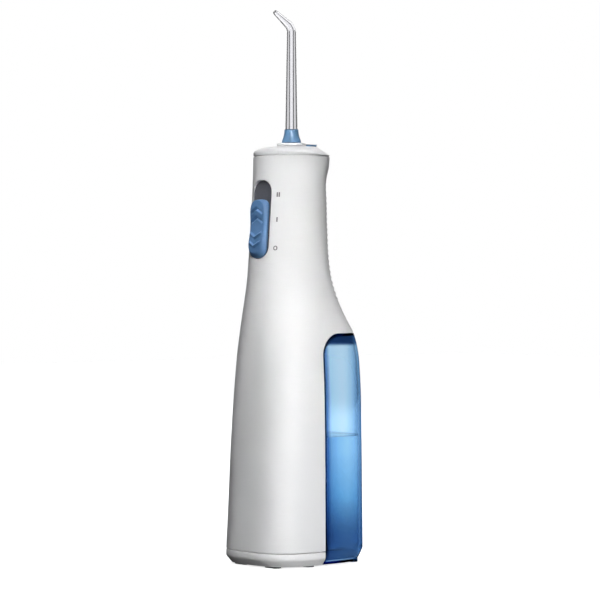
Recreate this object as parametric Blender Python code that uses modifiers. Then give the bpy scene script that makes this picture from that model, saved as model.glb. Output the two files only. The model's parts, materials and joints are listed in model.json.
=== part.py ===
"""Cordless water flosser: battery handle, motor pump, lift-off reservoir and a bent jet tip.

Every length below is in millimetres. The helpers turn millimetres into Blender's metres.
+Z is up. -Y is the front, where the thumb switch is. +Y is the back, where the reservoir
is. The pieces are drawn round the jet tip's upright shaft, and the whole is then moved
along Y, so that the origin is on the floor in the middle of the footprint.
"""

import math

import bmesh
import bpy
import numpy as np
from mathutils import Matrix, Vector

MM = 0.001
GAP = 0.3

# The body's outline at a few heights. The front and rear halves are superellipses that
# share one width. Columns: height, half width, front depth, rear depth, front and rear
# squareness (2 is an ellipse, more is squarer).
BODY_STATIONS = (
    (8.0, 28.2, 31.9, 38.1, 3.3, 3.0),
    (36.0, 28.1, 30.4, 37.8, 3.2, 3.0),
    (68.0, 27.8, 29.0, 37.5, 3.05, 3.0),
    (100.0, 26.9, 27.5, 36.9, 2.75, 3.0),
    (112.0, 26.2, 27.0, 36.1, 2.6, 2.95),
    (122.0, 25.2, 26.7, 33.9, 2.4, 2.75),
    (131.0, 24.0, 26.3, 29.3, 2.25, 2.4),
    (140.0, 22.9, 25.7, 25.0, 2.1, 2.15),
    (150.0, 21.8, 24.9, 21.4, 2.0, 2.0),
    (161.0, 21.1, 24.0, 18.9, 2.0, 2.0),
    (175.0, 20.6, 22.9, 17.9, 2.0, 2.0),
    (193.0, 20.3, 21.5, 17.2, 2.0, 2.0),
    (201.0, 20.25, 20.95, 16.7, 2.0, 2.0),
    (205.0, 20.25, 20.7, 17.5, 2.0, 2.0),
    (210.0, 20.3, 20.45, 19.5, 2.0, 2.0),
    (216.0, 20.3, 20.25, 20.4, 2.0, 2.0),
)
SEGMENTS = 32
HEAD_SEAM = 216.0
SEAM_GAP = 0.1
SHELL_BOTTOM = 8.3
WALL = 1.8

# Reservoir bay at the rear of the handle, and the tank that fills it.
BAY_TOP = 122.5
BAY_CORNER = 12.3
TANK_WALL = 1.6
TANK_BOTTOM = 1.0
TANK_TOP = 122.2
TANK_FLOOR = 2.8
PORT_X = -5.0
PORT_Y = 20.2
PORT_RADIUS = 8.0

# Base cover under the batteries.
COVER_TOP = 8.0
COVER_BOTTOM = 0.95
COVER_CHAMFER = 2.7
COVER_EDGE = 4.8
FOOT_HEIGHT = 0.65
FOOT_SIZE = (9.5, 4.6)
FOOT_PLACES = ((-12.5, -23.0), (12.5, -23.0), (-18.5, -5.6), (18.5, -5.6))
LOCK_Y = -14.0

# Batteries: three AA cells side by side.
CELL_RADIUS = 7.1
CELL_BODY = 49.2
CELL_BOTTOM = 15.6
CELL_PITCH = 15.4
CELL_Y = -13.6

# Motor, gear and pump.
MOTOR_Y = -13.7
MOTOR_RADIUS = 11.2
MOTOR_BOTTOM = 76.0
MOTOR_TOP = 101.0
SHAFT_RADIUS = 0.9
PINION_TEETH = 8
PINION_RADIUS = 2.6
GEAR_TEETH = 24
GEAR_RADIUS = 11.0
GEAR_BACK = -7.2
GEAR_FRONT = -9.8
GEAR_TOOTH = 0.95
CRANK_Z = 115.2
CRANK_THROW = 4.0
AXLE_RADIUS = 1.25
PUMP_Y = -4.6
ROD_LENGTH = 20.0
ROD_THICKNESS = 2.4
BORE_RADIUS = 3.8
CYLINDER_RADIUS = 5.6
CYLINDER_BOTTOM = 134.0
CYLINDER_TOP = 151.0
HEAD_BLOCK_TOP = 167.0
INLET_Y = 6.4
BALL_RADIUS = 2.2

# Jet tip, its socket and the tip eject button.
CAP_TOP = 221.4
SOCKET_RADIUS = 6.0
BOSS_RADIUS = 7.75
BOSS_TOP = 223.2
TIP_FOOT = 204.5
COLLAR_BOTTOM = 223.6
COLLAR_TOP = 230.7
BEND_START = 282.3
BEND_RADIUS = 5.0
BEND_ANGLE = math.radians(57.0)
ARM_LENGTH = 11.1
BUTTON_TOP = 222.8
BUTTON_REAR = 14.4
BUTTON_HALF_WIDTH = 4.4

# Thumb switch, set into the sloping front of the handle.
SWITCH_Z = 182.5
SLOT_HALF_WIDTH = 7.4
SLOT_HALF_LENGTH = 20.9
SLIDER_HALF_WIDTH = 6.8
SLIDER_HALF_LENGTH = 15.9
SLIDER_REST = -4.6
SLIDER_PROUD = 2.3
SLIDER_TRAVEL = 9.0

# How far the jet tip's shaft is in front of the footprint's middle.
FOOTPRINT_SHIFT = 3.1

PARTS = None
CUTTERS = None


# ---------------------------------------------------------------- scene and materials


def clear_scene():
    for obj in list(bpy.data.objects):
        bpy.data.objects.remove(obj, do_unlink=True)


def new_collection(name):
    made = bpy.data.collections.new(name)
    bpy.context.scene.collection.children.link(made)
    return made


def material(name, colour, roughness, metallic=0.0, transmission=0.0):
    made = bpy.data.materials.new(name)
    made.use_nodes = True
    shader = made.node_tree.nodes["Principled BSDF"]
    shader.inputs["Base Color"].default_value = (*colour, 1.0)
    shader.inputs["Roughness"].default_value = roughness
    shader.inputs["Metallic"].default_value = metallic
    shader.inputs["Transmission Weight"].default_value = transmission
    made.diffuse_color = (*colour, 1.0)
    return made


def white_plastic(name):
    return material(name, (0.86, 0.86, 0.86), 0.38)


def grey_plastic(name):
    return material(name, (0.35, 0.36, 0.38), 0.5)


def blue_plastic(name):
    return material(name, (0.13, 0.27, 0.50), 0.35)


def black_rubber(name):
    return material(name, (0.03, 0.03, 0.03), 0.8)


def steel(name):
    return material(name, (0.62, 0.62, 0.64), 0.3, metallic=1.0)


def nickel(name):
    return material(name, (0.72, 0.70, 0.66), 0.35, metallic=1.0)


# ---------------------------------------------------------------- shape helpers


def link(obj, finish):
    """A sub-part goes in the model's collection with its material; a cutter, with None."""
    for holder in list(obj.users_collection):
        holder.objects.unlink(obj)
    if finish is None:
        CUTTERS.objects.link(obj)
        obj.hide_render = True
        obj.display_type = "WIRE"
        return obj
    PARTS.objects.link(obj)
    obj.data.materials.clear()
    obj.data.materials.append(finish)
    return obj


def mesh_object(name, bm, finish):
    data = bpy.data.meshes.new(name)
    bm.to_mesh(data)
    bm.free()
    return link(bpy.data.objects.new(name, data), finish)


def smooth(obj, degrees=35.0):
    obj.data.shade_smooth()
    obj.data.set_sharp_from_angle(angle=math.radians(degrees))


def boolean(target, other, operation="DIFFERENCE"):
    made = target.modifiers.new(other.name, "BOOLEAN")
    made.operation = operation
    made.solver = "EXACT"
    made.object = other
    return target


def box(name, low, high, finish=None):
    bm = bmesh.new()
    bmesh.ops.create_cube(bm, size=1.0)
    size = [(b - a) * MM for a, b in zip(low, high, strict=True)]
    centre = [(a + b) / 2 * MM for a, b in zip(low, high, strict=True)]
    bmesh.ops.scale(bm, vec=size, verts=bm.verts)
    obj = mesh_object(name, bm, finish)
    obj.location = centre
    return obj


def rod(name, start, end, radius, finish=None, segments=20):
    """A plain cylinder from start to end."""
    a, b = Vector(start) * MM, Vector(end) * MM
    bm = bmesh.new()
    bmesh.ops.create_cone(
        bm,
        cap_ends=True,
        segments=segments,
        radius1=radius * MM,
        radius2=radius * MM,
        depth=(b - a).length,
    )
    obj = mesh_object(name, bm, finish)
    obj.location = (a + b) / 2
    obj.rotation_euler = (b - a).to_track_quat("Z", "Y").to_euler()
    smooth(obj)
    return obj


def ball(name, centre, radius, finish):
    bm = bmesh.new()
    bmesh.ops.create_uvsphere(bm, u_segments=12, v_segments=8, radius=radius * MM)
    obj = mesh_object(name, bm, finish)
    obj.location = Vector(centre) * MM
    smooth(obj, 60.0)
    return obj


def turned(name, profile, finish=None, place=(0.0, 0.0, 0.0), segments=20):
    """A turned shape. The profile is (radius, height) pairs, outer side first, top down,
    then the inner side back up. It is closed unless both its ends are on the axis."""
    bm = bmesh.new()
    points = [bm.verts.new((r * MM, 0.0, z * MM)) for r, z in profile]
    for first, second in zip(points, points[1:], strict=False):
        bm.edges.new((first, second))
    if profile[0][0] > 0.0:
        bm.edges.new((points[-1], points[0]))
    obj = mesh_object(name, bm, finish)
    obj.location = Vector(place) * MM
    screw = obj.modifiers.new("turn", "SCREW")
    screw.steps = segments
    screw.render_steps = segments
    screw.use_merge_vertices = True
    screw.merge_threshold = 1e-6
    screw.use_smooth_shade = True
    return obj


def ring_profile(outer, inner, low, high):
    """A plain ring's profile for turned()."""
    return ((outer, high), (outer, low), (inner, low), (inner, high))


def cord_ring_profile(centre_radius, height, half_width, half_height, sides=6):
    """An O-ring's round section as a profile for turned()."""
    turns = [-2.0 * math.pi * i / sides for i in range(sides)]
    return [
        (centre_radius + half_width * math.cos(t), height + half_height * math.sin(t))
        for t in turns
    ]


def curve_points(name, points, cyclic, dimensions):
    data = bpy.data.curves.new(name, "CURVE")
    data.dimensions = dimensions
    data.render_resolution_u = 0
    line = data.splines.new("POLY")
    line.points.add(len(points) - 1)
    for target, point in zip(line.points, points, strict=True):
        x, y, z = point
        target.co = (x * MM, y * MM, z * MM, 1.0)
    line.use_cyclic_u = cyclic
    return data


def as_mesh(curve_object, finish, matrix=None):
    """The curve's evaluated shape as a mesh object, welded and moved into place."""
    name = curve_object.name
    bpy.context.scene.collection.objects.link(curve_object)
    graph = bpy.context.evaluated_depsgraph_get()
    data = bpy.data.meshes.new_from_object(curve_object.evaluated_get(graph))
    bpy.data.objects.remove(curve_object, do_unlink=True)
    bm = bmesh.new()
    bm.from_mesh(data)
    bmesh.ops.remove_doubles(bm, verts=bm.verts, dist=1e-7)
    bmesh.ops.recalc_face_normals(bm, faces=bm.faces)
    obj = mesh_object(name, bm, finish)
    bpy.data.meshes.remove(data)
    if matrix is not None:
        obj.matrix_world = matrix
    return obj


def prism(name, outline, low, high, finish=None, matrix=None):
    """A flat outline in the local XY plane, filled and extruded from low to high along Z."""
    data = curve_points(name, [(x, y, 0.0) for x, y in outline], True, "2D")
    data.fill_mode = "BOTH"
    data.extrude = (high - low) / 2 * MM
    lift = Matrix.Translation((0.0, 0.0, (high + low) / 2 * MM))
    place = matrix if matrix is not None else Matrix.Identity(4)
    return as_mesh(bpy.data.objects.new(name, data), finish, place @ lift)


def tube(name, points, radius, finish, resolution=2):
    """A round bar along a route, with closed ends."""
    data = curve_points(name, points, False, "3D")
    data.bevel_depth = radius * MM
    data.bevel_resolution = resolution
    data.use_fill_caps = True
    obj = as_mesh(bpy.data.objects.new(name, data), finish)
    smooth(obj, 50.0)
    return obj


def smooth_route(controls, count):
    """Points along one smooth curve through the control points."""
    given = [Vector(p) for p in controls]
    padded = [2 * given[0] - given[1], *given, 2 * given[-1] - given[-2]]
    spans = len(given) - 1
    route = []
    for i in range(count):
        along = spans * i / (count - 1)
        span = min(int(along), spans - 1)
        t = along - span
        a, b, c, d = padded[span : span + 4]
        route.append(
            0.5
            * (
                2 * b
                + (c - a) * t
                + (2 * a - 5 * b + 4 * c - d) * t * t
                + (3 * b - a - 3 * c + d) * t * t * t
            )
        )
    return route


def arc(centre, radius, start, end, steps):
    """Points on a circular arc in a plane, angles in degrees."""
    turns = np.radians(np.linspace(start, end, steps + 1))
    return [
        (centre[0] + radius * math.cos(t), centre[1] + radius * math.sin(t))
        for t in turns
    ]


def stadium(half_width, half_length, middle=0.0, steps=8):
    """A slot outline that stands along Y, with round ends."""
    straight = half_length - half_width
    return [
        *arc((0.0, middle + straight), half_width, 0.0, 180.0, steps),
        *arc((0.0, middle - straight), half_width, 180.0, 360.0, steps),
    ]


def rounded_box(half_x, half_y, radius, middle=(0.0, 0.0), steps=3):
    x, y = half_x - radius, half_y - radius
    corners = ((x, y, 0), (-x, y, 90), (-x, -y, 180), (x, -y, 270))
    return [
        point
        for cx, cy, turn in corners
        for point in arc((middle[0] + cx, middle[1] + cy), radius, turn, turn + 90, steps)
    ]


def loft(name, rings, finish=None, closed=False):
    """Faces between unlike rings of points, lowest ring first. A closed loft joins its
    last ring to its first, for a hollow sleeve; an open one gets a cap at each end."""
    bm = bmesh.new()
    rows = [[bm.verts.new(Vector(p) * MM) for p in ring] for ring in rings]
    pairs = list(zip(rows, rows[1:], strict=False))
    if closed:
        pairs.append((rows[-1], rows[0]))
    for lower, upper in pairs:
        for i in range(len(lower)):
            j = (i + 1) % len(lower)
            bm.faces.new((lower[i], lower[j], upper[j], upper[i]))
    if not closed:
        bm.faces.new(list(reversed(rows[0])))
        bm.faces.new(rows[-1])
    bmesh.ops.recalc_face_normals(bm, faces=bm.faces)
    obj = mesh_object(name, bm, finish)
    smooth(obj)
    return obj


def pivot(name, place):
    """An empty on a joint's axis, which the moving pieces hang from."""
    empty = bpy.data.objects.new(name, None)
    empty.empty_display_size = 5 * MM
    empty.location = Vector(place) * MM
    PARTS.objects.link(empty)
    return empty


def hang(empty, *pieces, parent=None):
    """Parents pieces to an empty without moving them."""
    bpy.context.view_layer.update()
    for piece in pieces:
        piece.parent = empty
        piece.matrix_parent_inverse = empty.matrix_world.inverted()
    if parent is not None:
        empty.parent = parent
        empty.matrix_parent_inverse = parent.matrix_world.inverted()


# ---------------------------------------------------------------- the body's section


def station(height):
    """The body's width, depths and squareness at a height, on a smooth curve."""
    table = np.array(BODY_STATIONS)
    heights = table[:, 0]
    z = float(np.clip(height, heights[0], heights[-1]))
    slopes = np.gradient(table[:, 1:], heights, axis=0)
    i = int(np.clip(np.searchsorted(heights, z) - 1, 0, len(heights) - 2))
    span = heights[i + 1] - heights[i]
    t = (z - heights[i]) / span
    low, high = table[i, 1:], table[i + 1, 1:]
    rise = (1 + 2 * t) * (1 - t) ** 2
    return (
        rise * low
        + t * (1 - t) ** 2 * span * slopes[i]
        + (1 - rise) * high
        + t * t * (t - 1) * span * slopes[i + 1]
    )


def body_ring(height, inset=0.0, segments=SEGMENTS, at=None):
    """One closed ring of the body's outline, moved in by inset. It is drawn at the height
    given by at, where the ring is a cap's or a floor's."""
    half_width, front, rear, front_power, rear_power = station(height)
    ring = []
    for i in range(segments):
        turn = 2 * math.pi * i / segments
        c, s = math.cos(turn), math.sin(turn)
        depth, power = (rear, rear_power) if s >= 0 else (front, front_power)
        x = (half_width - inset) * math.copysign(abs(c) ** (2 / power), c)
        y = (depth - inset) * math.copysign(abs(s) ** (2 / power), s)
        ring.append((x, y, height if at is None else at))
    return ring


def body_heights(low, high):
    """The stations between two heights, with one more between each pair above 100."""
    marks = [row[0] for row in BODY_STATIONS]
    between = [(a + b) / 2 for a, b in zip(marks, marks[1:], strict=False) if a >= 100]
    inner = [z for z in sorted(marks + between) if low + 1.0 < z < high - 1.0]
    return [low, *inner, high]


def body_loft(name, low, high, inset=0.0, finish=None):
    return loft(name, [body_ring(z, inset) for z in body_heights(low, high)], finish)


def side_outline(edge, top, corner, bottom):
    """The bay's shape from the side, as (Y, Z): a wall, a round corner and a ceiling."""
    centre = (edge + corner, top - corner)
    far = 60.0
    return [
        (far, bottom),
        (far, top),
        *arc(centre, corner, 90.0, 180.0, 8),
        (edge, bottom),
    ]


def side_prism(name, outline):
    """A (Y, Z) outline extruded right across the body along X."""
    turn = Matrix(((0, 0, 1, 0), (1, 0, 0, 0), (0, 1, 0, 0), (0, 0, 0, 1)))
    return prism(name, outline, -60.0, 60.0, None, turn)


# ---------------------------------------------------------------- handle


def switch_matrix():
    """The switch's own frame: Y runs up the handle's front, Z points out of it."""
    low, high = SWITCH_Z - SLOT_HALF_LENGTH, SWITCH_Z + SLOT_HALF_LENGTH
    lean = math.atan2(station(low)[1] - station(high)[1], high - low)
    up = Vector((0.0, math.sin(lean), math.cos(lean)))
    out = Vector((0.0, -math.cos(lean), math.sin(lean)))
    crown = Vector((0.0, -station(SWITCH_Z)[1], SWITCH_Z)) * MM
    axes = Matrix((Vector((1.0, 0.0, 0.0)), up, out)).transposed()
    return Matrix.Translation(crown) @ axes.to_4x4()


def make_handle_shell():
    white = white_plastic("handle_white")
    shell = body_loft("handle_shell", SHELL_BOTTOM, HEAD_SEAM - SEAM_GAP, finish=white)
    cavity = body_loft("handle_cavity", SHELL_BOTTOM - 2.0, HEAD_SEAM + 2.0, WALL)
    kept = side_outline(-GAP - WALL, BAY_TOP + WALL, BAY_CORNER + WALL, -10.0)
    boolean(cavity, side_prism("bay_wall_keep", kept))
    boolean(shell, cavity)
    bay = side_outline(-GAP, BAY_TOP, BAY_CORNER, -10.0)
    boolean(shell, side_prism("bay_cutter", bay))
    slot = stadium(SLOT_HALF_WIDTH, SLOT_HALF_LENGTH)
    boolean(shell, prism("slot_cutter", slot, -8.0, 5.0, None, switch_matrix()))
    hole = rod("port_cutter", (PORT_X, PORT_Y, 115.0), (PORT_X, PORT_Y, 130.0), 3.7)
    boolean(shell, hole)
    smooth(shell)
    return shell


def cap_profiles():
    """The head cap's outer profile at the front and at the rear, from its middle out to
    the seam, as (radius, height) pairs of equal number."""
    dome = arc((8.5, HEAD_SEAM + 1.9), 1.0, 90.0, 0.0, 6)
    front_run, front_rise = 20.2 - 8.5, CAP_TOP - HEAD_SEAM - 1.9
    front = [
        (8.5 + (r - 8.5) * front_run, HEAD_SEAM + 1.9 + (z - HEAD_SEAM - 1.9) * front_rise)
        for r, z in dome
    ]
    share = np.linspace(0.0, 1.0, len(front))
    rear = [(13.6 + t * (20.2 - 13.6), CAP_TOP - 0.1 - t * 4.6) for t in share]
    return front, rear


def cap_ring(front, rear, radius_drop, height_drop):
    """One ring of the cap between its front and rear profile points."""
    ring = []
    for i in range(SEGMENTS):
        turn = 2 * math.pi * i / SEGMENTS
        share = 0.5 + 0.5 * math.sin(turn)
        share = share * share * (3 - 2 * share)
        radius = front[0] + (rear[0] - front[0]) * share - radius_drop
        height = front[1] + (rear[1] - front[1]) * share - height_drop
        ring.append((radius * math.cos(turn), radius * math.sin(turn), height))
    return ring


def flat_ring(radius, height):
    return [
        (
            radius * math.cos(2 * math.pi * i / SEGMENTS),
            radius * math.sin(2 * math.pi * i / SEGMENTS),
            height,
        )
        for i in range(SEGMENTS)
    ]


def button_outline(inset):
    """Seen from above: the front follows the tip's boss, the rear corners are round."""
    radius = BOSS_RADIUS + 0.35 + inset
    half = BUTTON_HALF_WIDTH - inset
    side = math.degrees(math.asin(half / radius))
    corner = 1.2
    rear = BUTTON_REAR - inset - corner
    return [
        *arc((0.0, 0.0), radius, 90.0 + side, 90.0 - side, 6),
        *arc((half - corner, rear), corner, 0.0, 90.0, 3),
        *arc((corner - half, rear), corner, 90.0, 180.0, 3),
    ]


def make_head_cap():
    front, rear = cap_profiles()
    profile = list(zip(front, rear, strict=True))
    spigot, groove = 17.9, 17.0
    outer = [cap_ring(f, r, 0.0, 0.0) for f, r in profile]
    inner = [cap_ring(f, r, 1.6, 1.7) for f, r in profile[:-1]]
    rings = [
        flat_ring(SOCKET_RADIUS + GAP, CAP_TOP),
        *outer,
        cap_ring((20.2, HEAD_SEAM + 0.2), (20.2, HEAD_SEAM + 0.2), 0.0, 0.0),
        flat_ring(spigot, HEAD_SEAM + 0.2),
        flat_ring(spigot, 214.9),
        flat_ring(groove, 214.9),
        flat_ring(groove, 213.5),
        flat_ring(spigot, 213.5),
        flat_ring(spigot, 212.6),
        flat_ring(16.4, 212.6),
        flat_ring(16.4, 215.0),
        *reversed(inner),
        flat_ring(SOCKET_RADIUS + GAP, CAP_TOP - 1.7),
    ]
    cap = loft("head_cap", rings, white_plastic("head_cap_white"), closed=True)
    hole = prism("eject_hole_cutter", button_outline(-GAP), 214.0, 226.0)
    boolean(cap, hole)
    seal_form = cord_ring_profile(17.65, 214.2, 0.5, 0.5)
    turned("head_seal", seal_form, black_rubber("head_seal_rubber"), segments=SEGMENTS)
    return cap


def make_switch():
    frame = switch_matrix()
    housing = prism(
        "switch_housing",
        stadium(SLOT_HALF_WIDTH - GAP, SLOT_HALF_LENGTH - GAP),
        -5.3,
        -1.7,
        grey_plastic("switch_housing_grey"),
        frame,
    )
    flange = prism("switch_flange", rounded_box(8.2, 23.0, 2.0), -5.5, -4.3, None, frame)
    boolean(housing, flange, "UNION")
    stem_low = SLIDER_REST - 3.4
    stem_high = SLIDER_REST + 3.4 + SLIDER_TRAVEL
    stem_slot = [(-1.7, stem_low), (1.7, stem_low), (1.7, stem_high), (-1.7, stem_high)]
    boolean(housing, prism("stem_slot_cutter", stem_slot, -8.0, 1.0, None, frame))

    face = stadium(SLIDER_HALF_WIDTH, SLIDER_HALF_LENGTH, SLIDER_REST)
    slider = prism(
        "switch_slider", face, -1.4, SLIDER_PROUD, blue_plastic("switch_blue"), frame
    )
    rounding = slider.modifiers.new("edges", "BEVEL")
    rounding.width = 0.8 * MM
    rounding.segments = 2
    rounding.limit_method = "ANGLE"
    stem = rounded_box(1.3, 3.0, 0.3, (0.0, SLIDER_REST), 1)
    boolean(slider, prism("slider_stem", stem, -5.6, -1.0, None, frame), "UNION")

    block = rounded_box(5.5, 6.5, 0.8, (0.0, SLIDER_REST), 2)
    carriage = prism(
        "switch_carriage", block, -8.4, -5.9, grey_plastic("carriage_grey"), frame
    )
    blade = rounded_box(3.5, 4.0, 0.4, (0.0, SLIDER_REST), 1)
    boolean(carriage, prism("wiper", blade, -9.0, -8.0, None, frame), "UNION")
    prism(
        "switch_board",
        rounded_box(7.5, 21.0, 0.6, (0.0, 0.0), 1),
        -10.8,
        -9.4,
        material("board_green", (0.05, 0.22, 0.10), 0.5),
        frame,
    )
    axis = pivot("switch_axis", frame.translation / MM)
    hang(axis, slider, carriage)
    return housing


# ---------------------------------------------------------------- head: socket, tip, eject


def make_tip_socket():
    profile = (
        (BOSS_RADIUS - 0.5, BOSS_TOP),
        (BOSS_RADIUS, BOSS_TOP - 0.4),
        (BOSS_RADIUS, CAP_TOP + GAP),
        (SOCKET_RADIUS, CAP_TOP + GAP),
        (SOCKET_RADIUS, 211.0),
        (5.2, 210.9),
        (5.2, 209.1),
        (SOCKET_RADIUS, 209.0),
        (SOCKET_RADIUS, 200.4),
        (3.0, 200.0),
        (3.0, 196.0),
        (1.3, 196.0),
        (1.3, 203.2),
        (3.75, 203.2),
        (3.75, BOSS_TOP),
    )
    socket = turned("tip_socket", profile, white_plastic("socket_white"), segments=24)
    ring = turned(
        "socket_o_ring",
        cord_ring_profile(6.05, 210.0, 0.6, 0.65),
        black_rubber("socket_rubber"),
    )
    hang(pivot("tip_rotation_axis", (0.0, 0.0, 212.0)), socket)
    return socket, ring


def nozzle_line():
    """The jet tip's centre line from its foot to its outlet: place, lean, outer radius and
    bore radius at each step."""
    shaft = [
        (TIP_FOOT, 3.25, 1.1),
        (206.0, 3.25, 1.1),
        (206.05, 2.5, 1.1),
        (207.6, 2.5, 1.1),
        (207.65, 3.25, 1.1),
        (COLLAR_TOP + 0.1, 3.2, 1.1),
        (255.0, 2.85, 1.05),
        (BEND_START - 2.0, 2.42, 1.0),
    ]
    line = [((0.0, 0.0, z), 0.0, outer, bore) for z, outer, bore in shaft]
    bend_steps = 5
    for i in range(bend_steps + 1):
        share = i / bend_steps
        lean = BEND_ANGLE * share
        y = -BEND_RADIUS * (1 - math.cos(lean))
        z = BEND_START + BEND_RADIUS * math.sin(lean)
        line.append(((0.0, y, z), lean, 2.4 - 0.2 * share, 1.0 - 0.15 * share))
    y, z = line[-1][0][1], line[-1][0][2]
    for run, outer, bore in ((ARM_LENGTH * 0.6, 1.5, 0.55), (ARM_LENGTH, 1.2, 0.4)):
        place = (0.0, y - run * math.sin(BEND_ANGLE), z + run * math.cos(BEND_ANGLE))
        line.append((place, BEND_ANGLE, outer, bore))
    return line


def leaning_ring(place, lean, radius, segments=12):
    """A circle square to the centre line, which leans towards the front."""
    across = Vector((1.0, 0.0, 0.0))
    back = Vector((0.0, math.cos(lean), math.sin(lean)))
    turns = [2 * math.pi * i / segments for i in range(segments)]
    middle = Vector(place)
    return [
        middle + radius * (math.cos(t) * across + math.sin(t) * back) for t in turns
    ]


def make_jet_tip():
    line = nozzle_line()
    rings = [leaning_ring(place, lean, outer) for place, lean, outer, bore in line]
    rings += [
        leaning_ring(place, lean, bore) for place, lean, outer, bore in reversed(line)
    ]
    clear = material("tip_clear", (0.92, 0.94, 0.96), 0.05, transmission=1.0)
    nozzle = loft("tip_nozzle", rings, clear, closed=True)
    collar_profile = (
        (3.5, COLLAR_TOP),
        (3.75, COLLAR_TOP - 0.2),
        (3.85, COLLAR_TOP - 1.6),
        (4.2, COLLAR_TOP - 3.4),
        (4.7, COLLAR_TOP - 5.4),
        (5.1, COLLAR_BOTTOM + 0.6),
        (5.1, COLLAR_BOTTOM),
        (3.45, COLLAR_BOTTOM),
        (3.4, COLLAR_TOP - 0.3),
    )
    collar = turned("tip_collar", collar_profile, blue_plastic("collar_blue"))
    ring = turned(
        "tip_o_ring",
        cord_ring_profile(3.12, 206.82, 0.5, 0.6),
        black_rubber("tip_rubber"),
        segments=20,
    )
    hang(pivot("tip_release_axis", (0.0, 0.0, TIP_FOOT)), nozzle, collar, ring)
    return nozzle


def make_eject():
    button = prism(
        "eject_button",
        button_outline(0.0),
        215.6,
        BUTTON_TOP,
        blue_plastic("eject_blue"),
    )
    flange = rounded_box(5.3, 3.7, 0.8, (0.0, 11.1), 2)
    boolean(button, prism("button_flange", flange, 214.8, 216.0), "UNION")
    for side in (-1.0, 1.0):
        edges = sorted((side * 4.2, side * 5.3))
        leg = box("button_leg", (edges[0], 7.6, 210.8), (edges[1], 9.0, 215.2))
        boolean(button, leg, "UNION")
    turns, steps = 3.5, 9
    count = int(turns * steps) + 1
    coil = []
    for i in range(count):
        angle = 2 * math.pi * i / steps
        share = i / (count - 1)
        coil.append(
            (2.0 * math.cos(angle), 11.6 + 2.0 * math.sin(angle), 208.75 + share * 5.3)
        )
    spring = tube("eject_spring", coil, 0.35, steel("spring_steel"), 0)
    hang(pivot("eject_axis", (0.0, 11.6, 214.8)), button, spring)

    latch_outline = rounded_box(9.0, 8.3, 3.0, (0.0, -1.0), 3)
    latch = prism("latch_plate", latch_outline, 212.3, 213.4, nickel("latch_metal"))
    opening = [
        *arc((0.0, 0.4), SOCKET_RADIUS + GAP + 0.1, 0.0, 180.0, 12),
        *arc((0.0, -0.3), SOCKET_RADIUS + GAP + 0.1, 180.0, 360.0, 12),
    ]
    boolean(latch, prism("latch_opening", opening, 211.0, 215.0))
    hang(pivot("latch_axis", (0.0, 7.3, 212.85)), latch)
    return button


def make_head_bridge():
    """The plate that carries the socket's bearing and the eject spring's seat."""
    plate = turned(
        "head_bridge",
        (
            (8.0, 211.4),
            (8.0, 208.2),
            (14.4, 208.2),
            (14.4, 206.7),
            (6.2, 206.7),
            (6.2, 208.9),
            (6.85, 209.0),
            (6.85, 211.4),
        ),
        grey_plastic("bridge_grey"),
    )
    for side in (-1.0, 1.0):
        reach = sorted((side * 13.0, side * 17.6))
        arm = box("bridge_arm", (reach[0], -3.0, 206.9), (reach[1], 3.0, 208.0))
        boolean(plate, arm, "UNION")
    return plate


# ---------------------------------------------------------------- pump train


def make_chassis():
    """The moulded frame that holds the motor below and the pump above."""
    frame = box(
        "chassis", (-14.2, -20.6, 101.6), (14.2, -2.6, 103.2), grey_plastic("chassis_grey")
    )
    for side in (-1.0, 1.0):
        across = sorted((side * 12.0, side * 14.2))
        post = box("chassis_post", (across[0], -13.0, 102.4), (across[1], -2.6, 133.0))
        boolean(frame, post, "UNION")
    deck = box("chassis_deck", (-14.2, -13.0, 132.1), (14.2, 3.4, 133.7))
    boolean(frame, deck, "UNION")
    web = box("axle_web", (-6.0, -20.6, 102.4), (6.0, -18.0, 119.2))
    boolean(frame, web, "UNION")
    shaft_hole = rod("shaft_hole", (0, MOTOR_Y, 95.0), (0, MOTOR_Y, 103.9), 3.4)
    boolean(frame, shaft_hole)
    axle_hole = rod("axle_hole", (0, -24.0, CRANK_Z), (0, -15.0, CRANK_Z), 1.5)
    boolean(frame, axle_hole)
    piston_hole = rod("piston_hole", (0, PUMP_Y, 130.0), (0, PUMP_Y, 136.0), 4.5)
    boolean(frame, piston_hole)
    for x, y in screw_places():
        boolean(frame, rod("screw_hole", (x, y, 130.0), (x, y, 136.0), 1.1, None, 12))
    return frame


def screw_places():
    """Two screws hold the pump down, at opposite corners of its flange."""
    return [(-9.5, 0.6), (9.5, -10.0)]


def make_chassis_screws():
    for number, (x, y) in enumerate(screw_places(), start=1):
        profile = (
            (0.0, 137.4),
            (1.7, 137.4),
            (1.9, 137.0),
            (1.9, 136.0),
            (0.8, 136.0),
            (0.8, 130.6),
            (0.0, 130.1),
        )
        name = f"pump_screw_{number}"
        screw = turned(name, profile, steel(f"{name}_steel"), (x, y, 0.0), 14)
        recess = box("screw_slot", (x - 1.4, y - 0.25, 136.9), (x + 1.4, y + 0.25, 138.0))
        boolean(screw, recess)


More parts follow.
